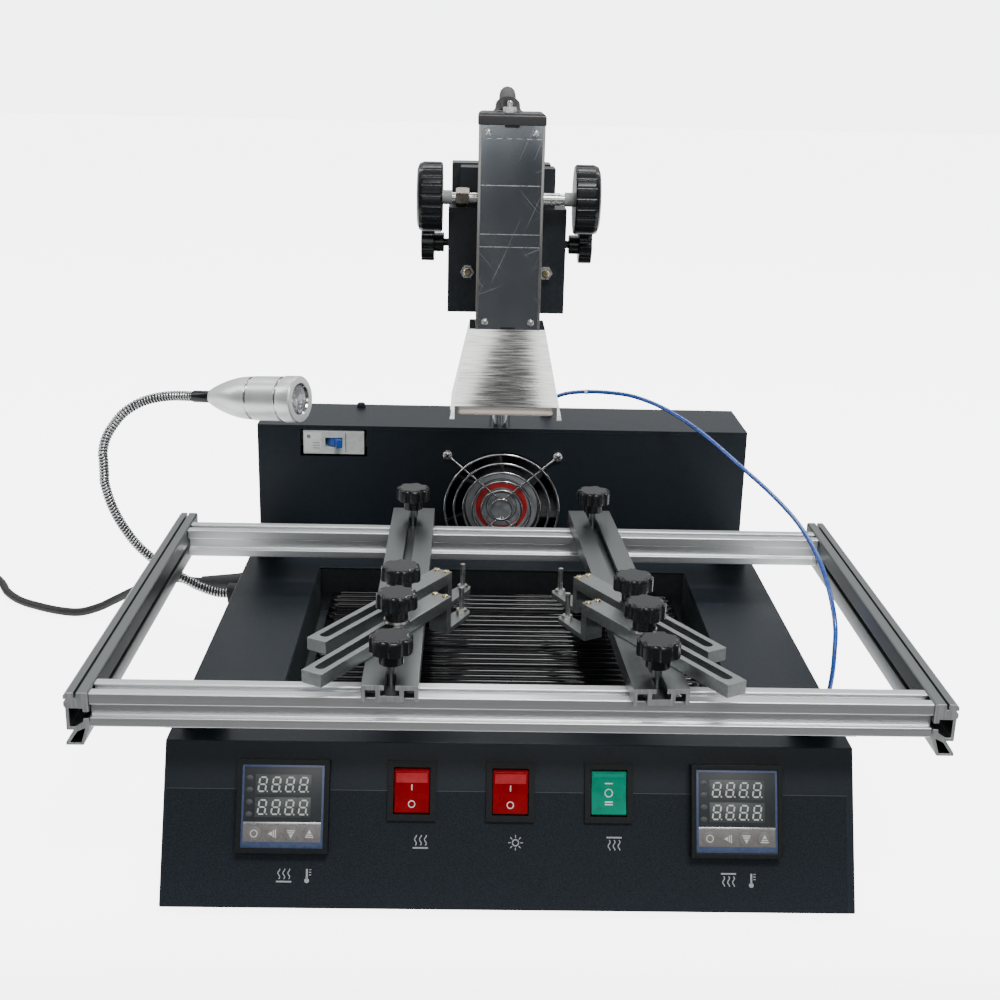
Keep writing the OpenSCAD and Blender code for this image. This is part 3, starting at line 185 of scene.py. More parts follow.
seen_glow(bench_nodes, bench_links, bench_fade(0.0, floor_glow), bench_shader.inputs["Emission Strength"])
bench_shader.inputs["Emission Color"].default_value = (1, 1, 1, 1)
bench_links.new(bench_fade(*floor_base), bench_shader.inputs["Base Color"])
floor_mesh.materials.append(bench_white)
floor = bpy.data.objects.new("floor", floor_mesh)
put_in_scene(floor)
world = bpy.data.worlds.new("studio")
world.use_nodes = True
air, wires = world.node_tree.nodes, world.node_tree.links
air["Background"].inputs["Color"].default_value = (0.985, 0.993, 1.0, 1)
air_heading = air.new("ShaderNodeTexCoord")
air_split = air.new("ShaderNodeSeparateXYZ")
air_glow = air.new("ShaderNodeMapRange")
air_glow.interpolation_type = "SMOOTHSTEP"
air_glow.inputs["From Min"].default_value = room_front
air_glow.inputs["From Max"].default_value = room_back
air_glow.inputs["To Min"].default_value = room_glow[0]
air_glow.inputs["To Max"].default_value = room_glow[1]
wires.new(air_heading.outputs["Generated"], air_split.inputs["Vector"])
wires.new(air_split.outputs["Y"], air_glow.inputs["Value"])
seen_glow(air, wires, air_glow.outputs["Result"], air["Background"].inputs["Strength"])
bpy.context.scene.world = world


def softbox(name, place, target, width, height, power, roll=0):
    """A soft rectangular panel of light, turned about its aim by a roll in degrees."""
    data = bpy.data.lights.new(name, "AREA")
    data.shape = "RECTANGLE"
    data.size = width
    data.size_y = height
    data.energy = power
    lamp = bpy.data.objects.new(name, data)
    lamp.location = place
    aim = (Vector(target) - Vector(place)).to_track_quat("-Z", "Y").to_matrix()
    lamp.rotation_euler = (aim @ Matrix.Rotation(math.radians(roll), 3, "Z")).to_euler()
    put_in_scene(lamp)


softbox("ceiling_panel", (0.0, 0.75, 1.7), (0, 0.1, 0.1), 2.0, 0.16, 14)
softbox("front_panel", (0.4, -1.5, 2.2), (0, 0, 0.15), 0.9, 0.5, 44)
softbox("window_left", (-0.180, -0.90, 0.53), (-0.180, 0, 0.53), 0.40, 0.34, 1.05, -19)
softbox("window_right", (0.25, -0.90, 0.487), (0.25, 0, 0.487), 0.40, 0.25, 0.85, 6)
softbox("left_panel", (-1.8, 0.1, 1.4), (0, 0, 0.15), 0.25, 1.2, 9)
softbox("right_panel", (1.8, 0.2, 1.4), (0, 0, 0.15), 0.25, 1.2, 9)


# Mains lead: round black rubber flex, moulded into the strain relief on the console's left wall.
# It drops to the bench and runs left; the rest is wound into a flat coil of two layers, beside
# its moulded plug with two bright round pins.
millimetres = Matrix.Scale(0.001, 4)


def on_case(x, y, z):
    """A place given in millimetres from the panel's lower front edge."""
    return Vector((x / 1000, case_front + y / 1000, z / 1000))


def smooth_route(points, steps):
    """The same smooth curve through the points as the solids follow."""
    route = []
    for i in range(len(points) - 1):
        a, b = points[max(i - 1, 0)], points[i]
        c, d = points[i + 1], points[min(i + 2, len(points) - 1)]
        for k in range(steps):
            t = k / steps
            route.append(0.5 * (2 * b + (c - a) * t + (2 * a - 5 * b + 4 * c - d) * t * t
                                + (3 * b - a - 3 * c + d) * t ** 3))
    return route + [points[-1]]


def cord_curve(name, points, diameter, material):
    """A round cord on one open spline."""
    curve = bpy.data.curves.new(name, "CURVE")
    curve.dimensions = "3D"
    curve.bevel_depth = diameter / 2
    curve.bevel_resolution = 4
    curve.use_fill_caps = True
    spline = curve.splines.new("POLY")
    spline.points.add(len(points) - 1)
    for point, place in zip(spline.points, points):
        point.co = (*place, 1)
    curve.materials.append(material)
    piece = bpy.data.objects.new(name, curve)
    put_in_scene(piece)
    return piece


def rounded(shape, edges, size, segments, clamp=True):
    """Round these edges."""
    bmesh.ops.bevel(shape, geom=edges, offset=size, offset_type="OFFSET", segments=segments, profile=0.5,
                    affect="EDGES", material=-1, clamp_overlap=clamp)


def dressed(node, material, edge, segments=2, sharp=28, parts=(), round_edges=None, round_size=0.0):
    """A CAD node's own shape with its edges rounded, standing for the node."""
    source = frame["nodes"][node]
    shape = bmesh.new()
    shape.from_mesh(source.data)
    bmesh.ops.remove_doubles(shape, verts=shape.verts, dist=2e-6)
    bmesh.ops.dissolve_limit(shape, angle_limit=math.radians(0.5), verts=shape.verts, edges=shape.edges)
    if round_edges:
        chosen = [e for e in shape.edges if len(e.link_faces) == 2 and e.calc_face_angle(0) > math.radians(60)
                  and round_edges(*[v.co for v in e.verts])]
        rounded(shape, chosen, round_size, 5, clamp=False)
    edges = [e for e in shape.edges if len(e.link_faces) == 2 and e.calc_face_angle(0) > math.radians(sharp)]
    rounded(shape, edges, edge, segments)
    mesh = bpy.data.meshes.new(node + "_skin")
    shape.to_mesh(mesh)
    shape.free()
    mesh.shade_smooth()
    mesh.set_sharp_from_angle(angle=math.radians(38))
    mesh.materials.append(material)
    for index, (finish, holds) in enumerate(parts, 1):
        mesh.materials.append(finish)
        for face in mesh.polygons:
            if holds(face.center):
                face.material_index = index
    piece = bpy.data.objects.new(node + "_skin", mesh)
    put_in_scene(piece)
    flat = piece.modifiers.new("even_faces", "WEIGHTED_NORMAL")
    flat.keep_sharp = True
    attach(piece, source["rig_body"])
    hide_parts(node)
    return piece


left_wall = -182.5
lead_diameter = 0.0065
lead_low = -2.35
lead_points = [on_case(left_wall + x, y, z) for x, y, z in (
    (-37.5, 332, 53), (-46, 333.5, 53), (-54, 342, 51.5), (-65, 357, 46), (-77, 370, 39), (-89, 381, 31),
    (-100, 390.5, 23.5), (-111, 398, 16), (-122, 402.5, 9), (-135, 404.5, 2), (-150, 404.6, lead_low),
    (-166, 406.5, lead_low), (-185, 415, lead_low), (-204, 427, lead_low), (-220, 445, lead_low),
    (-231, 465, lead_low), (-245, 483, lead_low), (-264, 493, lead_low), (-288, 496, lead_low))]
coil_middle = on_case(left_wall - 288, 450, 0)
coil_inner = 0.0262
coil_pitch = 0.00655
coil_low = -0.0024
coil_start, lower_end, upper_start, coil_end = 96, 1170, 1260, 1980
lead_flex = smooth_route(lead_points, 4)
for degrees in range(coil_start, coil_end + 1, 6):
    if degrees <= lower_end:
        radius = coil_inner + coil_pitch * (lower_end - degrees) / 360
        height = coil_low
    elif degrees <= upper_start:
        radius = coil_inner
        height = coil_low + coil_pitch * (degrees - lower_end) / (upper_start - lower_end)
    else:
        radius = coil_inner + coil_pitch * (degrees - upper_start) / 360
        height = coil_low + coil_pitch
    turn = math.radians(degrees)
    lead_flex.append(coil_middle + Vector((radius * math.cos(turn), radius * math.sin(turn), height)))
plug_low, plug_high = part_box("mains_plug")
lead_flex.append(Vector((lead_flex[-1].x, plug_high.y, lead_flex[-1].z)))
black_rubber = surface("black_rubber", (0.012, 0.012, 0.013), (0.022, 0.022, 0.023), 700, 0.55,
                       relief=0.00008)
zinc = surface("zinc", (0.50, 0.49, 0.45), (0.64, 0.63, 0.60), 260, 0.3, metallic=1.0)
mains_flex = cord_curve("mains_flex", lead_flex, lead_diameter, black_rubber)
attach(mains_flex, "station")
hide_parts("mains_lead", "mains_coil")
pin_length = 0.0189
pin_front = plug_low.y + pin_length
plug_body = dressed("mains_plug", black_rubber, 0.0004,
                    parts=((zinc, lambda c: c.y < pin_front),),
                    round_edges=lambda a, b: min(a.y, b.y) > pin_front, round_size=0.0042)


# Sensor lead: thin blue thermocouple wire in a clear sheath, with a white marker sleeve.
# It springs out of the grommet on the tower and dives into the gland on the right wall.
def at_place(origin, heading):
    """Millimetre frame at a place with its Z axis along a heading."""
    return (Matrix.Translation(origin) @ heading.to_track_quat("Z", "Y").to_matrix().to_4x4()
            @ millimetres)


def add_turned(shape, place, profile, index=0, steps=32):
    """A form spun about the frame's Z axis from (radius, height) points; gives its vertices."""
    verts_before, faces_before = set(shape.verts), set(shape.faces)
    chain = [shape.verts.new((radius, 0, height)) for radius, height in profile]
    edges = [shape.edges.new(pair) for pair in zip(chain, chain[1:])]
    bmesh.ops.spin(shape, geom=chain + edges, cent=(0, 0, 0), axis=(0, 0, 1), dvec=(0, 0, 0), angle=math.tau,
                   steps=steps, use_merge=True)
    for face in shape.faces:
        if face not in faces_before:
            face.material_index = index
    turned = [vert for vert in shape.verts if vert not in verts_before]
    bmesh.ops.transform(shape, matrix=place, verts=turned)
    return turned


def shaped(name, shape, body, slot, *materials, sharp=38):
    """Turn a bmesh into a piece of a body, with its finishes."""
    bmesh.ops.remove_doubles(shape, verts=shape.verts, dist=1e-7)
    bmesh.ops.recalc_face_normals(shape, faces=shape.faces)
    mesh = bpy.data.meshes.new(name)
    shape.to_mesh(mesh)
    shape.free()
    mesh.shade_smooth()
    mesh.set_sharp_from_angle(angle=math.radians(sharp))
    for material in materials:
        mesh.materials.append(material)
    piece = bpy.data.objects.new(name, mesh)
    put_in_scene(piece)
    if body:
        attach(piece, body)
    return piece


sensor_diameter = 0.003
sensor_points = smooth_route([on_case(*p) for p in (
    (34, 418, 166.5), (36, 416, 174), (46, 410, 181), (60, 402, 185), (78, 393, 187), (98, 380, 187),
    (120, 360, 182), (142, 334, 172), (164, 300, 158), (180, 268, 148), (192, 236, 138), (199, 206, 126),
    (202, 182, 112), (203, 164, 96), (202, 156, 80), (201, 153, 65), (199, 153, 52), (192, 153, 46))], 5)
blue_sheath = surface("blue_sheath", (0.02, 0.07, 0.36), (0.05, 0.14, 0.54), 260, 0.22, stretch=(1, 1, 4),
                      coat=0.6)
sensor_wire = cord_curve("sensor_wire", sensor_points, sensor_diameter, blue_sheath)
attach(sensor_wire, "station")
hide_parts("sensor_lead")
mark_white = surface("mark_white", (0.72, 0.73, 0.73), (0.82, 0.83, 0.83), 300, 0.5)
shape = bmesh.new()
marker_at = at_place(sensor_points[16], sensor_points[17] - sensor_points[15])
add_turned(shape, marker_at, ((1.45, -1.2), (1.75, -1.2), (1.75, 1.2), (1.45, 1.2), (1.45, -1.2)), steps=16)
sensor_marker = shaped("sensor_marker", shape, "station", "lead_blue", mark_white)

# Head cable: thick grey-black sleeved cable from the gland on the head's cap to the carriage.
# Its loop between the two gives the head room to rise and fall.
cable_diameter = 0.010
cable_start = Vector((-0.005, case_front + 0.246, 0.398))
cable_finish = Vector((-0.005, case_front + 0.307, 0.3613))
cable_points = smooth_route(
    [cable_start + Vector((0, y / 1000, z / 1000))
     for y, z in ((0, 0), (6.5, 4.4), (14, 5.9), (22, 4.5), (31, 0))]
    + [cable_finish + Vector((0, y / 1000, z / 1000))
       for y, z in ((-20, 30), (-9.5, 22), (-2.4, 13.5), (0, 7), (0, 3.5), (0, 0))], 4)
cable_sleeve = surface("cable_sleeve", (0.05, 0.05, 0.052), (0.10, 0.10, 0.104), 900, 0.6, relief=0.0003)
cable_line = cord_curve("head_cable_line", cable_points, cable_diameter, cable_sleeve)
head_flex = bpy.data.objects.new("head_flex", bpy.data.meshes.new_from_object(cable_line))
bpy.data.objects.remove(cable_line)
put_in_scene(head_flex)
head_flex.data.shade_smooth()
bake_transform(head_flex)
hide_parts("head_cable")


# Case: folded steel sheet under black textured powder coat, with rounded bends.
# The console cover and the tower are separate covers on one pan; a rolled hem edges the tower's top.
def painted(node, material):
    """A CAD node kept as it is, with its finish."""
    mesh = frame["nodes"][node].data
    mesh.materials.clear()
    mesh.materials.append(material)


def add_block(shape, place, low, high, index=0, edge=0.0):
    """A box between two corners in the frame's millimetres."""
    low, high = Vector(low), Vector(high)
    matrix = place @ Matrix.Translation((low + high) / 2) @ Matrix.Diagonal((*(high - low), 1))
    corners = bmesh.ops.create_cube(shape, size=1, matrix=matrix)["verts"]
    for face in {f for vert in corners for f in vert.link_faces}:
        face.material_index = index
    if edge:
        rounded(shape, list({e for vert in corners for e in vert.link_edges}), edge / 1000, 2)


def add_raised(shape, place, points, rise, index=0):
    """A form extruded along the frame's Z axis from an outline of (x, y, z) points."""
    under = shape.faces.new([shape.verts.new(place @ Vector(point)) for point in points])
    under.material_index = index
    grown = bmesh.ops.extrude_face_region(shape, geom=[under])["geom"]
    bmesh.ops.translate(shape, vec=place.to_3x3() @ Vector((0, 0, rise)),
                        verts=[part for part in grown if isinstance(part, bmesh.types.BMVert)])


def add_outline(shape, place, points, low, high, index=0):
    """A flat form with this outline between two heights."""
    add_raised(shape, place, [(x, y, low) for x, y in points], high - low, index)


def at_front(x, y, z):
    """Millimetre frame on an upright face that looks to the front: X right, Y up, Z outward."""
    return (Matrix.Translation(on_case(x, y, z)) @ Matrix.Rotation(math.radians(90), 4, "X")
            @ millimetres)


deck_height, panel_depth = 78.5, 36
panel_tilt = math.atan2(deck_height, panel_depth)


def at_panel(x, s, out=0.0):
    """Millimetre frame on the sloped panel: X along it, Y up the slope, Z outward."""
    return (Matrix.Translation((0, case_front, 0)) @ Matrix.Rotation(panel_tilt, 4, "X")
            @ millimetres @ Matrix.Translation((x, s, out)))


powder_coat = surface("powder_coat", (0.0080, 0.0125, 0.0175), (0.0130, 0.0190, 0.0255), 1500, 0.44,
                      relief=0.00008, specular=0.27)
tower_front, tower_height = 374, 162.5
fan_height = 100.4
for cover in ("console_cover", "rear_tower"):
    dressed(cover, powder_coat, 0.0012, 3)
painted("base_pan", powder_coat)
for fitting in ("rubber_feet", "cable_glands"):
    painted(fitting, black_rubber)
shape = bmesh.new()
tower_face = at_front(0, tower_front, tower_height)
add_block(shape, tower_face, (-181.3, -2.9, -0.1), (181.3, -2.1, 0.35), edge=0.2)
add_turned(shape, Matrix.Translation(on_case(-110, 432, tower_height - 0.1)) @ millimetres,
           ((0, 0), (3.4, 0), (3.4, 2.2), (2.6, 3.6), (0, 3.8)), steps=24)
shaped("tower_hem", shape, "station", "case_paint", powder_coat)

# Vent filters: pads of black open foam behind the tower's two rear grilles.
# They are glued to the inside of the rear wall.
filter_foam = surface("filter_foam", (0.004, 0.004, 0.005), (0.022, 0.022, 0.024), 900, 0.9, relief=0.0008,
                      specular=0.1)
rear_wall = 440.4
for side, x in (("left", -105), ("right", 105)):
    shape = bmesh.new()
    add_block(shape, at_front(x, rear_wall, fan_height), (-47, -35, 0), (47, 35, 3), edge=0.8)
    shaped("vent_filter_" + side, shape, "station", "case_paint", filter_foam)

# Panel film: a thin printed overlay on the lower panel, cut out around the switches, with a pale top edge.
# It carries plain pictograms: a heated plate, a lamp and a heater from above, with thermometers.
film_black = surface("film_black", (0.005, 0.008, 0.012), (0.020, 0.026, 0.033), 2200, 0.55, relief=0.00012,
                     specular=0.13)
switch_pitch = 52
film_left, film_right, film_top = -181, 178.5, 61.3
cut_half, cut_low = 12.5, 46
shape = bmesh.new()
film_outline = [(film_left, 0.6), (film_right, 0.6), (film_right, film_top)]
for middle in (switch_pitch, 0, -switch_pitch):
    film_outline += [(middle + cut_half, film_top), (middle + cut_half, cut_low),
                     (middle - cut_half, cut_low), (middle - cut_half, film_top)]
film_outline.append((film_left, film_top))
add_outline(shape, at_panel(0, 0), film_outline, -0.05, 0.14)
for start, stop in ((film_left, -65), (-39, -13), (13, 39), (65, film_right)):
    add_block(shape, at_panel(0, 0), (start, film_top - 0.3, 0), (stop, film_top + 0.05, 0.17), 1)
film_edge = surface("film_edge", (0.030, 0.036, 0.040), (0.045, 0.052, 0.057), 900, 0.5)
shaped("panel_film", shape, "station", "case_paint", film_black, film_edge)


def add_ring(shape, place, inner, outer, low, high, index=0, steps=28):
    """A flat ring about the frame's Z axis; gives its vertices."""
    profile = ((inner, low), (outer, low), (outer, high), (inner, high), (inner, low))
    return add_turned(shape, place, profile, index, steps)


def add_bar(shape, place, a, b, width, low, high, index=0):
    """A straight stroke between two points."""
    run = Vector((b[0] - a[0], b[1] - a[1])).normalized() * width / 2
    add_outline(shape, place, ((a[0] - run.y, a[1] + run.x), (a[0] + run.y, a[1] - run.x),
                               (b[0] + run.y, b[1] - run.x), (b[0] - run.y, b[1] + run.x)), low, high, index)


print_low, print_high = 0.1, 0.2


def add_warmth(shape, place, upward):
    """A plate with three waves of heat above or below it."""
    flip = 1 if upward else -1
    add_bar(shape, place, (-4, -3.2 * flip), (4, -3.2 * flip), 0.8, print_low, print_high)
    for x in (-2.6, 0, 2.6):
        wave = [(x + 0.55 * math.sin(k * 1.15), (-1.9 + k * 0.75) * flip) for k in range(8)]
        for a, b in zip(wave, wave[1:]):
            add_bar(shape, place, a, b, 0.55, print_low, print_high)


def add_thermometer(shape, place):
    """A bulb, a stem and three strokes of a scale."""
    add_turned(shape, place @ Matrix.Translation((0, -2.6, 0)),
               ((0, print_low), (1.25, print_low), (1.25, print_high), (0, print_high)), steps=20)
    add_bar(shape, place, (0, -2), (0, 3.4), 1.0, print_low, print_high)
    for y in (0.4, 1.7, 3.0):
        add_bar(shape, place, (1.1, y), (2.3, y), 0.45, print_low, print_high)


low_row, high_row = 17, 35
shape = bmesh.new()
for x, upward_heat in ((-112, True), (121.5, False)):
    add_warmth(shape, at_panel(x - 6, low_row), upward_heat)
    add_thermometer(shape, at_panel(x + 6, low_row))
add_warmth(shape, at_panel(-47, high_row), True)
add_warmth(shape, at_panel(55, high_row), False)
lamp_sign = at_panel(3, high_row)
add_ring(shape, lamp_sign, 1.3, 1.9, print_low, print_high)
for k in range(8):
    ray = Vector((math.cos(k * math.tau / 8), math.sin(k * math.tau / 8)))
    add_bar(shape, lamp_sign, ray * 2.5, ray * 3.9, 0.5, print_low, print_high)
print_grey = surface("print_grey", (0.30, 0.32, 0.33), (0.40, 0.42, 0.43), 900, 0.6)
shaped("panel_pictograms", shape, "station", "case_paint", print_grey)

# Heater well and plates: a black pan, and three cast ceramic plates with a dark mirror glaze.
# The ridges are the heating wire's channels, and they catch the light as bright lines.
well_black = surface("well_black", (0.030, 0.038, 0.043), (0.044, 0.053, 0.059), 400, 0.5, relief=0.00006)
painted("heater_well", well_black)
dark_glaze = surface("dark_glaze", (0.003, 0.003, 0.004), (0.008, 0.008, 0.009), 45, 0.07, relief=0.00012,
                     spread=0.02, detail=2.0, specular=0.3)
dressed("preheat_plates", dark_glaze, 0.001, 3)

# Temperature controllers: black bezels around a blue face with a dark display window and four keys.
# The seven-segment digits are unlit; the keys carry a plain ring and three arrows.
bezel_black = surface("bezel_black", (0.006, 0.007, 0.008), (0.010, 0.011, 0.012), 900, 0.4, relief=0.00003,
                      specular=0.22)
face_blue = surface("face_blue", (0.050, 0.075, 0.155), (0.068, 0.098, 0.190), 500, 0.42)
window_black = surface("window_black", (0.018, 0.022, 0.025), (0.022, 0.026, 0.030), 200, 0.5, spread=0.03)
digit_grey = surface("digit_grey", (0.050, 0.056, 0.056), (0.062, 0.068, 0.068), 400, 0.35)
segment_white = surface("segment_white", (0.50, 0.54, 0.52), (0.62, 0.66, 0.63), 500, 0.5)
strip_silver = surface("strip_silver", (0.60, 0.61, 0.62), (0.74, 0.75, 0.76), 500, 0.3, metallic=0.8)
key_taupe = surface("key_taupe", (0.145, 0.135, 0.130), (0.180, 0.170, 0.165), 600, 0.5)
face_out = 6.2
face_half, inner_half = 21.4, 20.2
digit_pitch, key_pitch = 7.1, 9.6


def add_digit(shape, place, x, y, low, high, index):
    """Seven slanted segments and a point."""
    width, height, lean, thick, gap = 3.7, 7.2, 0.14, 0.8, 0.35
    ends = {k: (x + sx * width / 2 + lean * sy * height / 2, y + sy * height / 2)
            for k, (sx, sy) in enumerate(((-1, 1), (1, 1), (-1, 0), (1, 0), (-1, -1), (1, -1)))}
    for i, j in ((0, 1), (2, 3), (4, 5), (0, 2), (1, 3), (2, 4), (3, 5)):
        a, b = Vector(ends[i]), Vector(ends[j])
        run = (b - a).normalized()
        side = Vector((-run.y, run.x)) * thick / 2
        a, b = a + run * gap, b - run * gap
        tip = run * thick / 2
        outline = (a, a + tip - side, b - tip - side, b, b - tip + side, a + tip + side)
        add_outline(shape, place, [(p.x, p.y) for p in outline], low, high, index)
    add_turned(shape, place @ Matrix.Translation((x + width / 2 + 0.55, y - height / 2, 0)),
               ((0, low), (0.4, low), (0.4, high), (0, high)), index, 12)


for side, x in (("left", -119), ("right", 119)):
    dressed("controller_" + side, bezel_black, 0.0006)
    place = at_panel(x, 53)
    shape = bmesh.new()
    add_block(shape, place, (-face_half, -face_half, face_out - 0.1), (face_half, face_half, face_out + 0.12), 0,
              0.1)
    add_block(shape, place, (-inner_half, -8, face_out), (inner_half, inner_half, face_out + 0.3), 1, 0.1)
    for y in (11.2, -0.5):
        add_block(shape, place, (-14.4, y - 5.1, face_out), (14.6, y + 5.1, face_out + 0.36), 2, 0.05)
        for k in range(4):
            add_digit(shape, place, (k - 1.5) * digit_pitch, y, face_out + 0.3, face_out + 0.42, 3)
    for y in (14.5, 8.4, 2.1, -4.1):
        oval = place @ Matrix.Translation((-17.4, y, 0)) @ Matrix.Diagonal((1, 0.78, 1, 1))
        add_turned(shape, oval, ((0, face_out), (1.75, face_out), (1.75, face_out + 0.42),
                                 (1.3, face_out + 0.5), (0, face_out + 0.5)), 2, 20)
    add_block(shape, place, (-inner_half, -9.3, face_out), (inner_half, -8.1, face_out + 0.34), 4, 0.08)
    add_block(shape, place, (-inner_half, -18.2, face_out), (inner_half, -9.3, face_out + 0.24), 5, 0.05)
    for k in range(4):
        key = place @ Matrix.Translation(((k - 1.5) * key_pitch, -14, 0))
        add_turned(shape, key, ((0, face_out), (3.75, face_out), (3.75, face_out + 0.62),
                                (3.3, face_out + 0.82), (0, face_out + 0.82)), 5, 32)
        top = (face_out + 0.8, face_out + 0.9)
        if k == 0:
            add_ring(shape, key, 1.5, 2.0, *top, 3)
        else:
            turn = key @ Matrix.Rotation(math.radians((0, 90, 180, 0)[k]), 4, "Z")
            add_outline(shape, turn, ((-1.15, 0.2), (1.15, 0.2), (0, 2.3)), *top, 3)
            add_bar(shape, turn, (-1.7, -0.55), (1.7, -0.55), 0.6, *top, 3)
            add_bar(shape, turn, (-2.1, -1.6), (2.1, -1.6), 0.6, *top, 3)
    shaped("controller_face_" + side, shape, "station", "panel_plastic", face_blue, window_black, digit_grey,
           segment_white, strip_silver, key_taupe)

# Rocker switches: moulded frames, two translucent red rockers and a green one, with paler crests.
# The raised white marks and the fine ribs follow the rockers' shallow V faces.
dressed("switch_frames", bezel_black, 0.0006)
rocker_red = surface("rocker_red", (0.22, 0.001, 0.004), (0.30, 0.003, 0.008), 120, 0.3, specular=0.08)
rocker_green = surface("rocker_green", (0.0, 0.20, 0.120), (0.001, 0.29, 0.18), 120, 0.3, specular=0.08)
crest_red = surface("crest_red", (0.42, 0.025, 0.030), (0.52, 0.045, 0.050), 120, 0.35, specular=0.2)
crest_green = surface("crest_green", (0.005, 0.27, 0.17), (0.012, 0.36, 0.24), 120, 0.35, specular=0.2)
switch_row = 61.3
rocker_height, rocker_rise = 2.6, 2.6 / 15
mark_sink, mark_proud = 0.05, 0.12
crest_half, crest_top = 8.2, 10.2
rib_pitch = 0.68


def on_face(shape, place, low, high, proud, index=0):
    """A thin oblong mark between two corners that follows the rocker's V face."""
    points = ((low[0], low[1]), (high[0], low[1]), (high[0], high[1]), (low[0], high[1]))
    add_raised(shape, place, [(x, y, rocker_height - mark_sink + rocker_rise * abs(y)) for x, y in points],
               mark_sink + proud, index)


def ring_on_face(shape, place, y, inner, outer, proud):
    """A thin ring that follows the rocker's V face."""
    ring = add_ring(shape, Matrix.Translation((0, y, rocker_height)), inner, outer, -mark_sink, proud, steps=24)
    for vert in ring:
        vert.co.z += rocker_rise * abs(vert.co.y)
    bmesh.ops.transform(shape, matrix=place, verts=ring)


for name, x, tilt, material, crest, slot in (
        ("preheat_rocker", -switch_pitch, 9, rocker_red, crest_red, "rocker_red"),
        ("lamp_rocker", 0, 9, rocker_red, crest_red, "rocker_red"),
        ("weld_rocker", switch_pitch, 0, rocker_green, crest_green, "rocker_green")):
    dressed(name, material, 0.0005, sharp=24)
    place = at_panel(x, switch_row, -2) @ Matrix.Rotation(math.radians(tilt), 4, "X")
    shape = bmesh.new()
    if name == "weld_rocker":
        crest_low = 8.6
        ring_on_face(shape, place, 0, 1.75, 2.2, mark_proud)
        for y in (5.0, -4.6, -5.9):
            on_face(shape, place, (-2.1, y - 0.3), (2.1, y + 0.3), mark_proud)
    else:
        crest_low = 5.2
        on_face(shape, place, (-0.28, 0.7), (0.28, 3.9), mark_proud)
        ring_on_face(shape, place, -6.4, 1.45, 1.9, mark_proud)
    on_face(shape, place, (-crest_half, crest_low), (crest_half, crest_top), 0.07, 1)
    on_face(shape, place, (-crest_half, crest_low - 0.3), (crest_half, crest_low), 0.16, 1)
    shaped(name + "_marks", shape, name, slot, mark_white, crest)
    shape = bmesh.new()
    for k in range(-12, 13):
        for low, high in ((-8.6, -0.8), (0.8, 8.6)):
            on_face(shape, place, (k * rib_pitch - 0.12, low), (k * rib_pitch + 0.12, high), 0.05)
    shaped(name + "_ribs", shape, name, slot, material)

# Circuit breaker: pale moulded body behind the tower's window, with a blue toggle.
# A plain label with bare strokes lies on its nose, and a dark seam runs beside the toggle.
breaker_grey = surface("breaker_grey", (0.52, 0.55, 0.53), (0.62, 0.65, 0.63), 300, 0.45)
toggle_blue = surface("toggle_blue", (0.012, 0.06, 0.30), (0.025, 0.10, 0.42), 300, 0.35)
dressed("breaker_body", breaker_grey, 0.0008)
dressed("breaker_toggle", toggle_blue, 0.0008)
shape = bmesh.new()
nose = at_front(-126, 373.5, 149.6)
add_block(shape, nose, (-21.5, -7.6, -0.05), (-9, 7.6, 0.12), 0, 0.05)
add_block(shape, nose, (-19.8, 3.2, 0.1), (-17.2, 5.8, 0.16), 1)
for y in (-4.6, -2.6, -0.6):
    add_block(shape, nose, (-15.6, y, 0.1), (-10.4, y + 0.5, 0.16), 1)
add_block(shape, nose, (8.6, -7.4, -0.05), (9.3, 7.4, 0.1), 1)
label_pale = surface("label_pale", (0.66, 0.68, 0.66), (0.74, 0.76, 0.74), 400, 0.55)
label_line = surface("label_line", (0.16, 0.18, 0.20), (0.22, 0.24, 0.26), 400, 0.6)
shaped("breaker_label", shape, "station", "breaker_grey", label_pale, label_line)

# Fan: black frame, grey rotor with a plain ring label, and a chrome wire guard on four screws.
# The guard's eyes lie on the tower; the screws have cross recesses.
fan_black = surface("fan_black", (0.008, 0.008, 0.009), (0.016, 0.016, 0.017), 500, 0.5)
fan_grey = surface("fan_grey", (0.03, 0.03, 0.033), (0.06, 0.06, 0.064), 300, 0.42)
bright_chrome = surface("bright_chrome", (0.62, 0.63, 0.65), (0.74, 0.75, 0.77), 60, 0.16, metallic=1.0)
painted("fan_frame", fan_black)
dressed("fan_rotor", fan_grey, 0.0004)
painted("fan_guard", bright_chrome)
frame["nodes"]["fan_guard"].data.shade_smooth()
# Near-black for the screws' cross recesses and the cover's two small oblongs: painted shade.
recess_shade = surface("recess_shade", (0.004, 0.004, 0.004), (0.008, 0.008, 0.008), 400, 0.6)
screw_steel = surface("screw_steel", (0.58, 0.58, 0.57), (0.72, 0.72, 0.71), 300, 0.26, metallic=0.8)


def add_screw(shape, place, radius, height, steel=0):
    """A domed screw head with a cross recess, which has finish 1."""
    add_turned(shape, place, ((0, -0.1), (radius, -0.1), (radius, height * 0.35), (radius * 0.86, height * 0.75),
                              (radius * 0.5, height), (0, height)), steel, 24)
    length, width = radius * 0.55, radius * 0.13
    for turn in (35, 125):
        add_block(shape, place @ Matrix.Rotation(math.radians(turn), 4, "Z"),
                  (-length, -width, height * 0.6), (length, width, height + 0.04), 1)


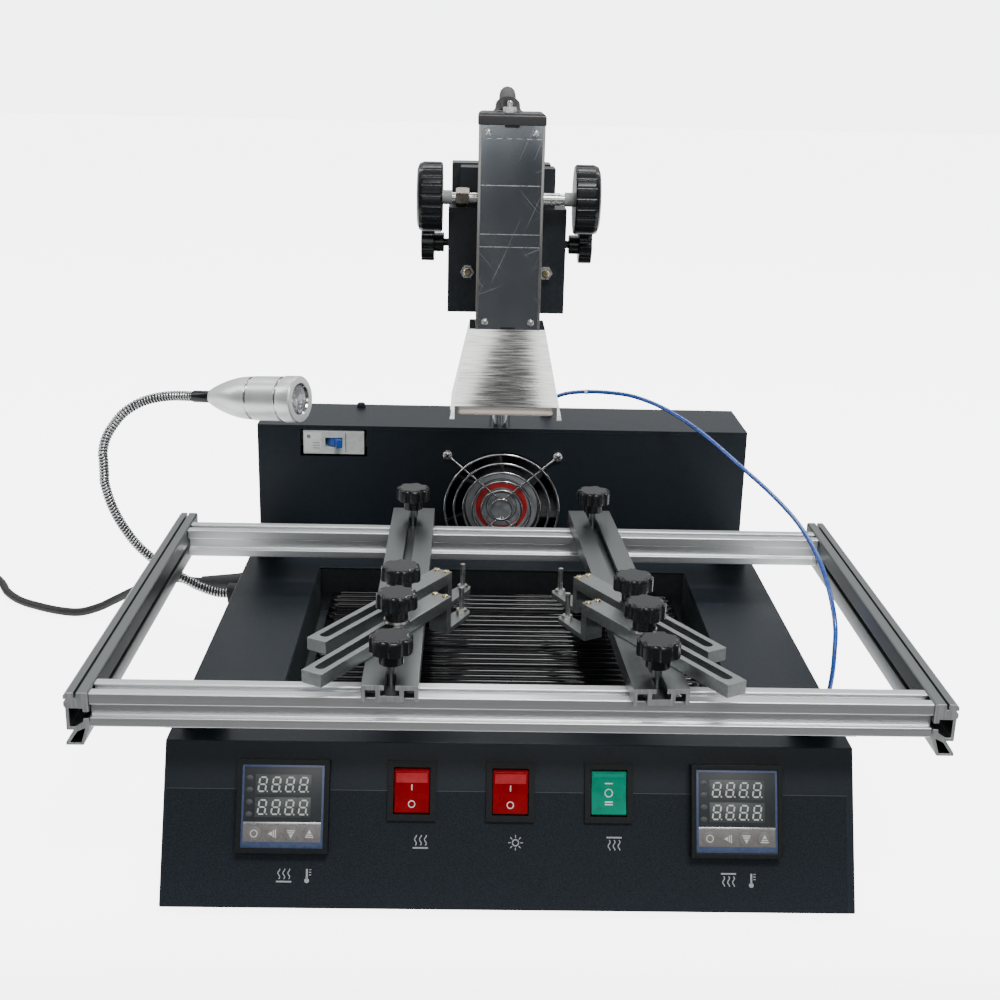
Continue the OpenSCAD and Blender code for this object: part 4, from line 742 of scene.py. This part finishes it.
shape = bmesh.new()
fan_pitch = 82.5
for x in (-fan_pitch / 2, fan_pitch / 2):
    for z in (-fan_pitch / 2, fan_pitch / 2):
        add_screw(shape, at_front(x, tower_front - 1.8, fan_height + z), 3.5, 2.0)
shaped("fan_screws", shape, "station", "bolt_steel", screw_steel, recess_shade)
hub_silver = surface("hub_silver", (0.34, 0.36, 0.38), (0.40, 0.42, 0.44), 200, 0.34, metallic=0.25)
hub_red = surface("hub_red", (0.50, 0.022, 0.024), (0.60, 0.034, 0.036), 300, 0.4)
shape = bmesh.new()
hub = at_front(0, tower_front + 3.5, fan_height)
add_turned(shape, hub, ((0, -0.1), (27.2, -0.1), (27.2, 0.15), (0, 0.15)), 0, 64)
add_ring(shape, hub, 15.2, 19.6, 0.1, 0.22, 1, 48)
add_ring(shape, hub, 21.8, 22.4, 0.1, 0.22, 2, 48)
add_ring(shape, hub, 11.2, 11.8, 0.1, 0.22, 2, 32)
shaped("fan_label", shape, "fan_rotor", "fan_grey", hub_silver, hub_red, fan_grey)

# Board frame: extruded aluminium, clear anodised, with fine drawing lines along each rail.
# The slots' lips are rounded, so each shows a bright line.
# The side rails and beams are painted far darker than the cross rails of the same aluminium: painted shade.
shaded_rail_along_y = surface("shaded_rail_along_y", (0.225, 0.24, 0.24), (0.25, 0.265, 0.265), 1500, 0.34, metallic=1.0,
                       stretch=(1, 0.002, 1), spread=0.01)
sawn_end = surface("sawn_end", (0.34, 0.36, 0.36), (0.50, 0.52, 0.52), 900, 0.5, metallic=0.6,
                   stretch=(1, 1, 0.1))
rail_cut, beam_cut = 0.0006, 0.0015
# The cross rails are painted far paler than the side rails and beams of the same aluminium: painted light.
lit_rail_along_x = surface("lit_rail_along_x", (0.77, 0.79, 0.80), (0.79, 0.81, 0.82), 1500, 0.41, metallic=1.0,
                       stretch=(0.002, 1, 1), spread=0.01)
rail_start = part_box("side_rails")[0].y + rail_cut
dressed("side_rails", shaded_rail_along_y, 0.0004, 3,
        parts=((sawn_end, lambda c: c.y < rail_start),))
dressed("cross_rails", lit_rail_along_x, 0.0008, 4)
painted("frame_posts", well_black)
for side in ("left", "right"):
    beam_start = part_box("beam_" + side)[0].y + beam_cut
    dressed("beam_" + side, shaded_rail_along_y, 0.0004,
            parts=((sawn_end, lambda c: c.y < beam_start),))

# Arms: milled aluminium bars on zinc-plated bolts and washers under black star knobs.
# Two brass screws hold each end plate; the board pin is a threaded rod with a nut on the foot.
milled = surface("milled", (0.30, 0.32, 0.32), (0.36, 0.38, 0.38), 500, 0.36, metallic=1.0, spread=0.04)
brass = surface("brass", (0.52, 0.42, 0.25), (0.66, 0.56, 0.36), 300, 0.28, metallic=1.0)
knob_black = surface("knob_black", (0.008, 0.0095, 0.011), (0.010, 0.012, 0.014), 300, 0.24, spread=0.01,
                     specular=0.36)
hexagon = [(math.cos(math.tau * k / 6), math.sin(math.tau * k / 6)) for k in range(6)]


def add_nut(shape, place, across, low, high, index=0):
    """A hexagon of this width across its flats, its corners turned off."""
    corner = across / math.sqrt(3)
    chamfer = (high - low) * 0.14
    for size, a, b in ((0.94, low, low + chamfer), (1, low + chamfer, high - chamfer),
                       (0.94, high - chamfer, high)):
        add_outline(shape, place, [(x * corner * size, y * corner * size) for x, y in hexagon], a, b, index)


left_beam, right_beam, beam_middle = -62.3, 66, 145
beam_skew = math.tan(math.radians(2.95))
arm_top, foot_top, pin_top = 134.6, 115.6, 131.65
pin_radius, pin_thread = 1.5, 0.5
for side, end, bolt_y, angle, reach in (("left", "rear", 108.5, 59, 45.5), ("left", "front", 67.5, 60, 47),
                                        ("right", "rear", 99, 120.5, 50), ("right", "front", 59.5, 121.2, 49)):
    place = side + "_" + end
    dressed("arm_" + place, milled, 0.0004)
    painted("bolt_" + place, zinc)
    painted("washer_" + place, zinc)
    for knob in ("arm_knob_" + place, "clamp_knob_" + place):
        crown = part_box(knob)[1].z - 1e-5
        dressed(knob, knob_black, 0.0008, 2, round_edges=lambda a, b: min(a.z, b.z) > crown,
                round_size=0.0021)
    bolt_x = left_beam if side == "left" else right_beam - (bolt_y - beam_middle) * beam_skew
    arm = (Matrix.Translation(on_case(bolt_x, bolt_y, 0)) @ Matrix.Rotation(math.radians(angle), 4, "Z")
           @ millimetres)
    shape = bmesh.new()
    for y in (-3.3, 3.3):
        add_screw(shape, arm @ Matrix.Translation((reach - 2.2, y, arm_top)), 1.9, 1.3)
    pin = arm @ Matrix.Translation((reach + 22, 0, 0))
    nut_top = foot_top + 2.6
    add_nut(shape, pin, 5.5, foot_top, nut_top, 2)
    thread = [(pin_radius, nut_top)]
    for k in range(26):
        crest_z = nut_top + 0.1 + k * pin_thread
        thread += [(pin_radius + 0.03, crest_z), (pin_radius + 0.01, crest_z + pin_thread / 2)]
    add_turned(shape, pin, thread + [(1.2, pin_top), (0, pin_top)], 2, 14)
    shaped("arm_fittings_" + place, shape, "arm_" + place, "bolt_steel", brass, recess_shade, zinc)

# Mast and carriage: a ground steel bar, and black castings with moulded hand knobs.
# The pinion's shaft is bright, with pale collars, a bronze nut on the left and a sleeve on the right.
mast_steel = surface("mast_steel", (0.55, 0.56, 0.58), (0.70, 0.71, 0.73), 800, 0.2, metallic=1.0,
                     stretch=(1, 1, 0.02))
painted("mast", mast_steel)
casting_black = surface("casting_black", (0.011, 0.015, 0.020), (0.017, 0.022, 0.028), 500, 0.4, relief=0.00006,
                        specular=0.4)
shoulder_grey = surface("shoulder_grey", (0.075, 0.080, 0.078), (0.105, 0.110, 0.108), 500, 0.42, relief=0.00006)
shoulder_low = 0.2985
shoulder_front, shoulder_back = case_front + 0.3255, case_front + 0.351
dressed("carriage", casting_black, 0.0016, 3, parts=(
    (shoulder_grey, lambda c: c.z > shoulder_low and shoulder_front < c.y < shoulder_back),))
collar_pale = surface("collar_pale", (0.34, 0.37, 0.35), (0.44, 0.47, 0.45), 300, 0.45)
bronze = surface("bronze", (0.12, 0.105, 0.09), (0.18, 0.16, 0.14), 200, 0.3, metallic=1.0)
mast_x = -2.5
collar_start, collar_stop = 35.9, 41.7
dressed("pinion_shaft", knob_black, 0.001, 2, parts=(
    (screw_steel, lambda c: abs(c.x * 1000 - mast_x) < collar_start),
    (collar_pale, lambda c: collar_start <= abs(c.x * 1000 - mast_x) < collar_stop)))
axle = (Matrix.Translation(on_case(mast_x, 278.1, 339.7)) @ Matrix.Rotation(math.radians(90), 4, "Y")
        @ millimetres)
shape = bmesh.new()
add_nut(shape, axle, 11, -33.6, -25.2)
add_turned(shape, axle, ((3.2, 20.4), (3.9, 20.4), (3.9, 33), (3.2, 33)), 1, 28)
shaped("shaft_fittings", shape, "pinion_shaft", "bolt_steel", bronze, screw_steel)
for side in ("left", "right"):
    dressed("lock_knob_" + side, knob_black, 0.0011, 3)
shape = bmesh.new()
for x in (-25.7, 25.7):
    stud = at_front(mast_x + x, 290, 291)
    add_nut(shape, stud, 8, -0.1, 4)
    add_turned(shape, stud, ((0, 3), (2.4, 3), (2.4, 5), (1.9, 5.6), (0, 5.6)), 1, 20)
shaped("block_nuts", shape, "carriage", "bolt_steel", screw_steel, brass)

# Heater head: a sheet box with a moulded cap and a bright cover held by four screws.
# The box's flanges show as light strips beside the cover, and fine lines are scribed across it.
head_grey = surface("head_grey", (0.012, 0.012, 0.013), (0.022, 0.022, 0.024), 400, 0.36)
flange_grey = surface("flange_grey", (0.26, 0.26, 0.25), (0.36, 0.36, 0.35), 500, 0.38, metallic=0.8,
                      stretch=(1, 1, 0.05))
cover_bright = surface("cover_bright", (0.34, 0.38, 0.42), (0.44, 0.48, 0.52), 30, 0.12, metallic=1.0,
                       spread=0.02, stretch=(1, 1, 0.6), detail=1.0)


def scratched(material, pale, turns):
    """Fine scratches in a few directions across an upright sheet, paler than its polish."""
    nodes, links = material.node_tree.nodes, material.node_tree.links
    shader = nodes["Principled BSDF"]
    for turn in turns:
        mapping = nodes.new("ShaderNodeMapping")
        mapping.vector_type = "TEXTURE"
        mapping.inputs["Rotation"].default_value = (0, math.radians(turn), 0)
        mapping.inputs["Scale"].default_value = (1, 1, 34)
        links.new(nodes["Texture Coordinate"].outputs["Object"], mapping.inputs["Vector"])
        noise = nodes.new("ShaderNodeTexNoise")
        noise.inputs["Scale"].default_value = 620
        noise.inputs["Detail"].default_value = 1.0
        links.new(mapping.outputs["Vector"], noise.inputs["Vector"])
        mask = nodes.new("ShaderNodeMapRange")
        mask.inputs["From Min"].default_value = 0.68
        mask.inputs["From Max"].default_value = 0.80
        mask.inputs["To Max"].default_value = 0.4
        links.new(noise.outputs["Fac"], mask.inputs["Value"])
        blend = nodes.new("ShaderNodeMix")
        blend.data_type = "RGBA"
        blend.inputs["B"].default_value = (*pale, 1)
        links.new(mask.outputs["Result"], blend.inputs["Factor"])
        links.new(shader.inputs["Base Color"].links[0].from_socket, blend.inputs["A"])
        links.new(blend.outputs["Result"], shader.inputs["Base Color"])
        dull = nodes.new("ShaderNodeMath")
        dull.operation = "SUBTRACT"
        dull.inputs[0].default_value = 0.9
        if shader.inputs["Metallic"].links:
            links.new(shader.inputs["Metallic"].links[0].from_socket, dull.inputs[0])
        links.new(mask.outputs["Result"], dull.inputs[1])
        links.new(dull.outputs["Value"], shader.inputs["Metallic"])


scratched(cover_bright, (0.55, 0.57, 0.58), (24, -41, 67))
head_low, head_high = 265, 387.5
cap_top, cap_band = 0.3945, 0.0001
dressed("head_box", head_grey, 0.0008, 2,
        round_edges=lambda a, b: max(abs(a.z - cap_top), abs(b.z - cap_top)) < cap_band, round_size=0.003)
dressed("head_cover", cover_bright, 0.0004)
cover = at_front(mast_x, 223.8, 0)
shape = bmesh.new()
for s in (-1, 1):
    add_block(shape, cover, (s * 19 - 0.85, head_low, -0.3), (s * 19 + 0.85, head_high, 0.35), 0, 0.2)
for z in (head_high - 35.2, head_high - 64.2, head_high - 71.8):
    add_block(shape, cover, (-18.2, z - 0.2, -0.1), (18.2, z + 0.2, 0.05), 1)
for k in range(6):
    add_block(shape, cover, (-15 + k * 6, head_high - 8.1, -0.1), (-12 + k * 6, head_high - 7.8, 0.04), 1)
# Two small near-black oblongs at the middle of the cover's top and bottom edges: painted shade.
for z in (head_low + 0.9, head_high - 0.9):
    add_block(shape, cover, (-4.4, z - 0.7, -0.1), (4.4, z + 0.7, 0.08), 2)
for x in (-14.2, 14.2):
    for z in (head_low + 4.6, head_high - 4.6):
        add_screw(shape, cover @ Matrix.Translation((x, z, 0)), 2.1, 1.3, steel=3)
shaped("cover_fittings", shape, "head", "cover_mirror", flange_grey, strip_silver, recess_shade, screw_steel)
shape = bmesh.new()
earth = Matrix.Translation(on_case(mast_x - 1.6, 229, head_high + 7)) @ millimetres
add_nut(shape, earth, 7, -0.1, 3.2)
add_turned(shape, earth, ((0, 3), (1.5, 3), (1.5, 6.2), (1.1, 6.8), (0, 6.8)), 0, 16)
shaped("cap_nut", shape, "head", "bolt_steel", screw_steel)

# Shroud and emitter: coarsely brushed stainless sheet, flared over a pale square ceramic.
# The brushing runs across each face.
shroud_steel = surface("shroud_steel", (0.44, 0.44, 0.43), (0.86, 0.86, 0.84), 1100, 0.08, metallic=1.0,
                       stretch=(0.05, 0.05, 1), relief=0.0000005, spread=0.02)
emitter_pale = surface("emitter_pale", (0.88, 0.77, 0.68), (0.94, 0.84, 0.75), 160, 0.6, relief=0.0001)
dressed("shroud", shroud_steel, 0.0004)
dressed("emitter_plate", emitter_pale, 0.0022, 3)

# Lamp: a turned aluminium head with a rounded tail, two ring grooves and a small lens.
# It stands on a chrome spiral gooseneck that curves up from the console to the head.
neck_points = [on_case(left_wall + x, y, z) for x, y, z in (
    (-14, 310, 53), (-24, 310, 54), (-36, 309, 59), (-48, 307, 67), (-61, 304, 77), (-74, 302, 90),
    (-84, 301, 105), (-91, 300, 121), (-95, 300, 137), (-95, 300, 144), (-95, 300, 150), (-95, 300, 155),
    (-95, 300, 160), (-93, 302, 169), (-88, 305, 178), (-80, 309, 187), (-67, 313, 194), (-50, 311, 198),
    (-31, 303, 200))]
neck_route = smooth_route(neck_points, 40)
neck_radius, neck_depth, neck_wind, neck_step, neck_sides = 0.0036, 0.0008, 0.0022, 0.00036, 14
shape = bmesh.new()
travelled, next_ring, neck_rings = 0.0, 0.0, []
neck_side = Vector((0, 1, 0))
for a, b in zip(neck_route, neck_route[1:]):
    run = (b - a).length
    heading = (b - a).normalized()
    neck_side = (neck_side - heading * neck_side.dot(heading)).normalized()
    other = heading.cross(neck_side)
    while next_ring <= travelled + run:
        middle = a + heading * (next_ring - travelled)
        ring = []
        for k in range(neck_sides):
            turn = math.tau * k / neck_sides
            swell = 0.5 + 0.5 * math.cos(math.tau * next_ring / neck_wind - turn)
            radius = neck_radius - neck_depth * (1 - swell ** 0.6)
            ring.append(shape.verts.new(middle + (neck_side * math.cos(turn) + other * math.sin(turn)) * radius))
        neck_rings.append(ring)
        next_ring += neck_step
    travelled += run
# Faces down in the spiral's grooves take a near-black finish: painted shade between the chrome ribs.
for i, (lower, upper) in enumerate(zip(neck_rings, neck_rings[1:])):
    for k in range(neck_sides):
        n = (k + 1) % neck_sides
        groove = math.cos(math.tau * ((i + 0.5) * neck_step / neck_wind - (k + 0.5) / neck_sides))
        shape.faces.new((lower[k], lower[n], upper[n], upper[k])).material_index = 1 if groove < -0.3 else 0
for ring in (neck_rings[0][::-1], neck_rings[-1]):
    shape.faces.new(ring)
neck_chrome = surface("neck_chrome", (0.42, 0.43, 0.44), (0.60, 0.61, 0.62), 80, 0.18, metallic=1.0)
# Near-black for the hose's grooves: painted shade, the hose being chrome throughout.
neck_groove_shade = surface("neck_groove_shade", (0.010, 0.010, 0.011), (0.020, 0.020, 0.021), 300, 0.4)
neck_hose = shaped("neck_hose", shape, None, "neck_chrome", neck_chrome, neck_groove_shade, sharp=80)
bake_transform(neck_hose)
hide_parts("lamp_neck_lower", "lamp_neck_upper")

lamp = (Matrix.Translation(neck_points[-1]) @ Matrix.Rotation(math.radians(-23.5), 4, "Z")
        @ Matrix.Rotation(math.radians(85), 4, "Y") @ millimetres)
lamp_turned = surface("lamp_turned", (0.80, 0.81, 0.82), (0.86, 0.87, 0.88), 60, 0.36, metallic=0.75,
                      spread=0.03)
lamp_groove = surface("lamp_groove", (0.62, 0.63, 0.64), (0.74, 0.75, 0.76), 200, 0.16, metallic=1.0)
lens_glass = surface("lens_glass", (0.80, 0.82, 0.84), (0.86, 0.88, 0.90), 60, 0.05, spread=0.02)
lens_glass.node_tree.nodes["Principled BSDF"].inputs["Transmission Weight"].default_value = 0.85
chip_yellow = surface("chip_yellow", (0.62, 0.52, 0.12), (0.72, 0.62, 0.20), 400, 0.5)
shape = bmesh.new()
add_turned(shape, lamp, ((0, -0.3), (3.9, -0.3), (4.1, 0.3), (4.1, 13.6), (3.9, 14.4)), 1, 32)
tail = [(5.0 + 9.5 * math.sin(math.pi / 2 * k / 12) ** 0.88, 14 + 33 * k / 12) for k in range(13)]
add_turned(shape, lamp, [(3.8, 14)] + tail + [(14.6, 48.2)], 0, 64)
add_turned(shape, lamp, ((14.6, 48.2), (14.0, 48.5), (14.0, 49.8), (14.8, 50.1)), 2, 64)
add_turned(shape, lamp, ((14.8, 50.1), (15.0, 71.4)), 0, 64)
add_turned(shape, lamp, ((15.0, 71.4), (14.3, 71.7), (14.3, 73.0), (15.2, 73.3)), 2, 64)
add_turned(shape, lamp, ((15.2, 73.3), (15.5, 74.2), (15.5, 83.2), (14.9, 83.9), (10.9, 83.9),
                         (10.5, 83.5)), 0, 64)
add_turned(shape, lamp, ((10.5, 83.5), (7, 78.6), (3, 78.2), (0, 78.2)), 2, 48)
lamp_shell = shaped("lamp_shell", shape, "lamp", "lamp_aluminium", lamp_turned, knob_black, lamp_groove)
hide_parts("lamp_head")
shape = bmesh.new()
add_turned(shape, lamp, ((0, 79.6), (9.6, 81.2), (10.2, 82.0), (9.6, 82.6), (6.4, 83.6), (3.2, 84.1),
                         (0, 84.3)), 0, 40)
add_block(shape, lamp, (-1.6, -1.6, 78.1), (1.6, 1.6, 78.8), 1)
shaped("lamp_lens", shape, "lamp", "lamp_aluminium", lens_glass, chip_yellow)
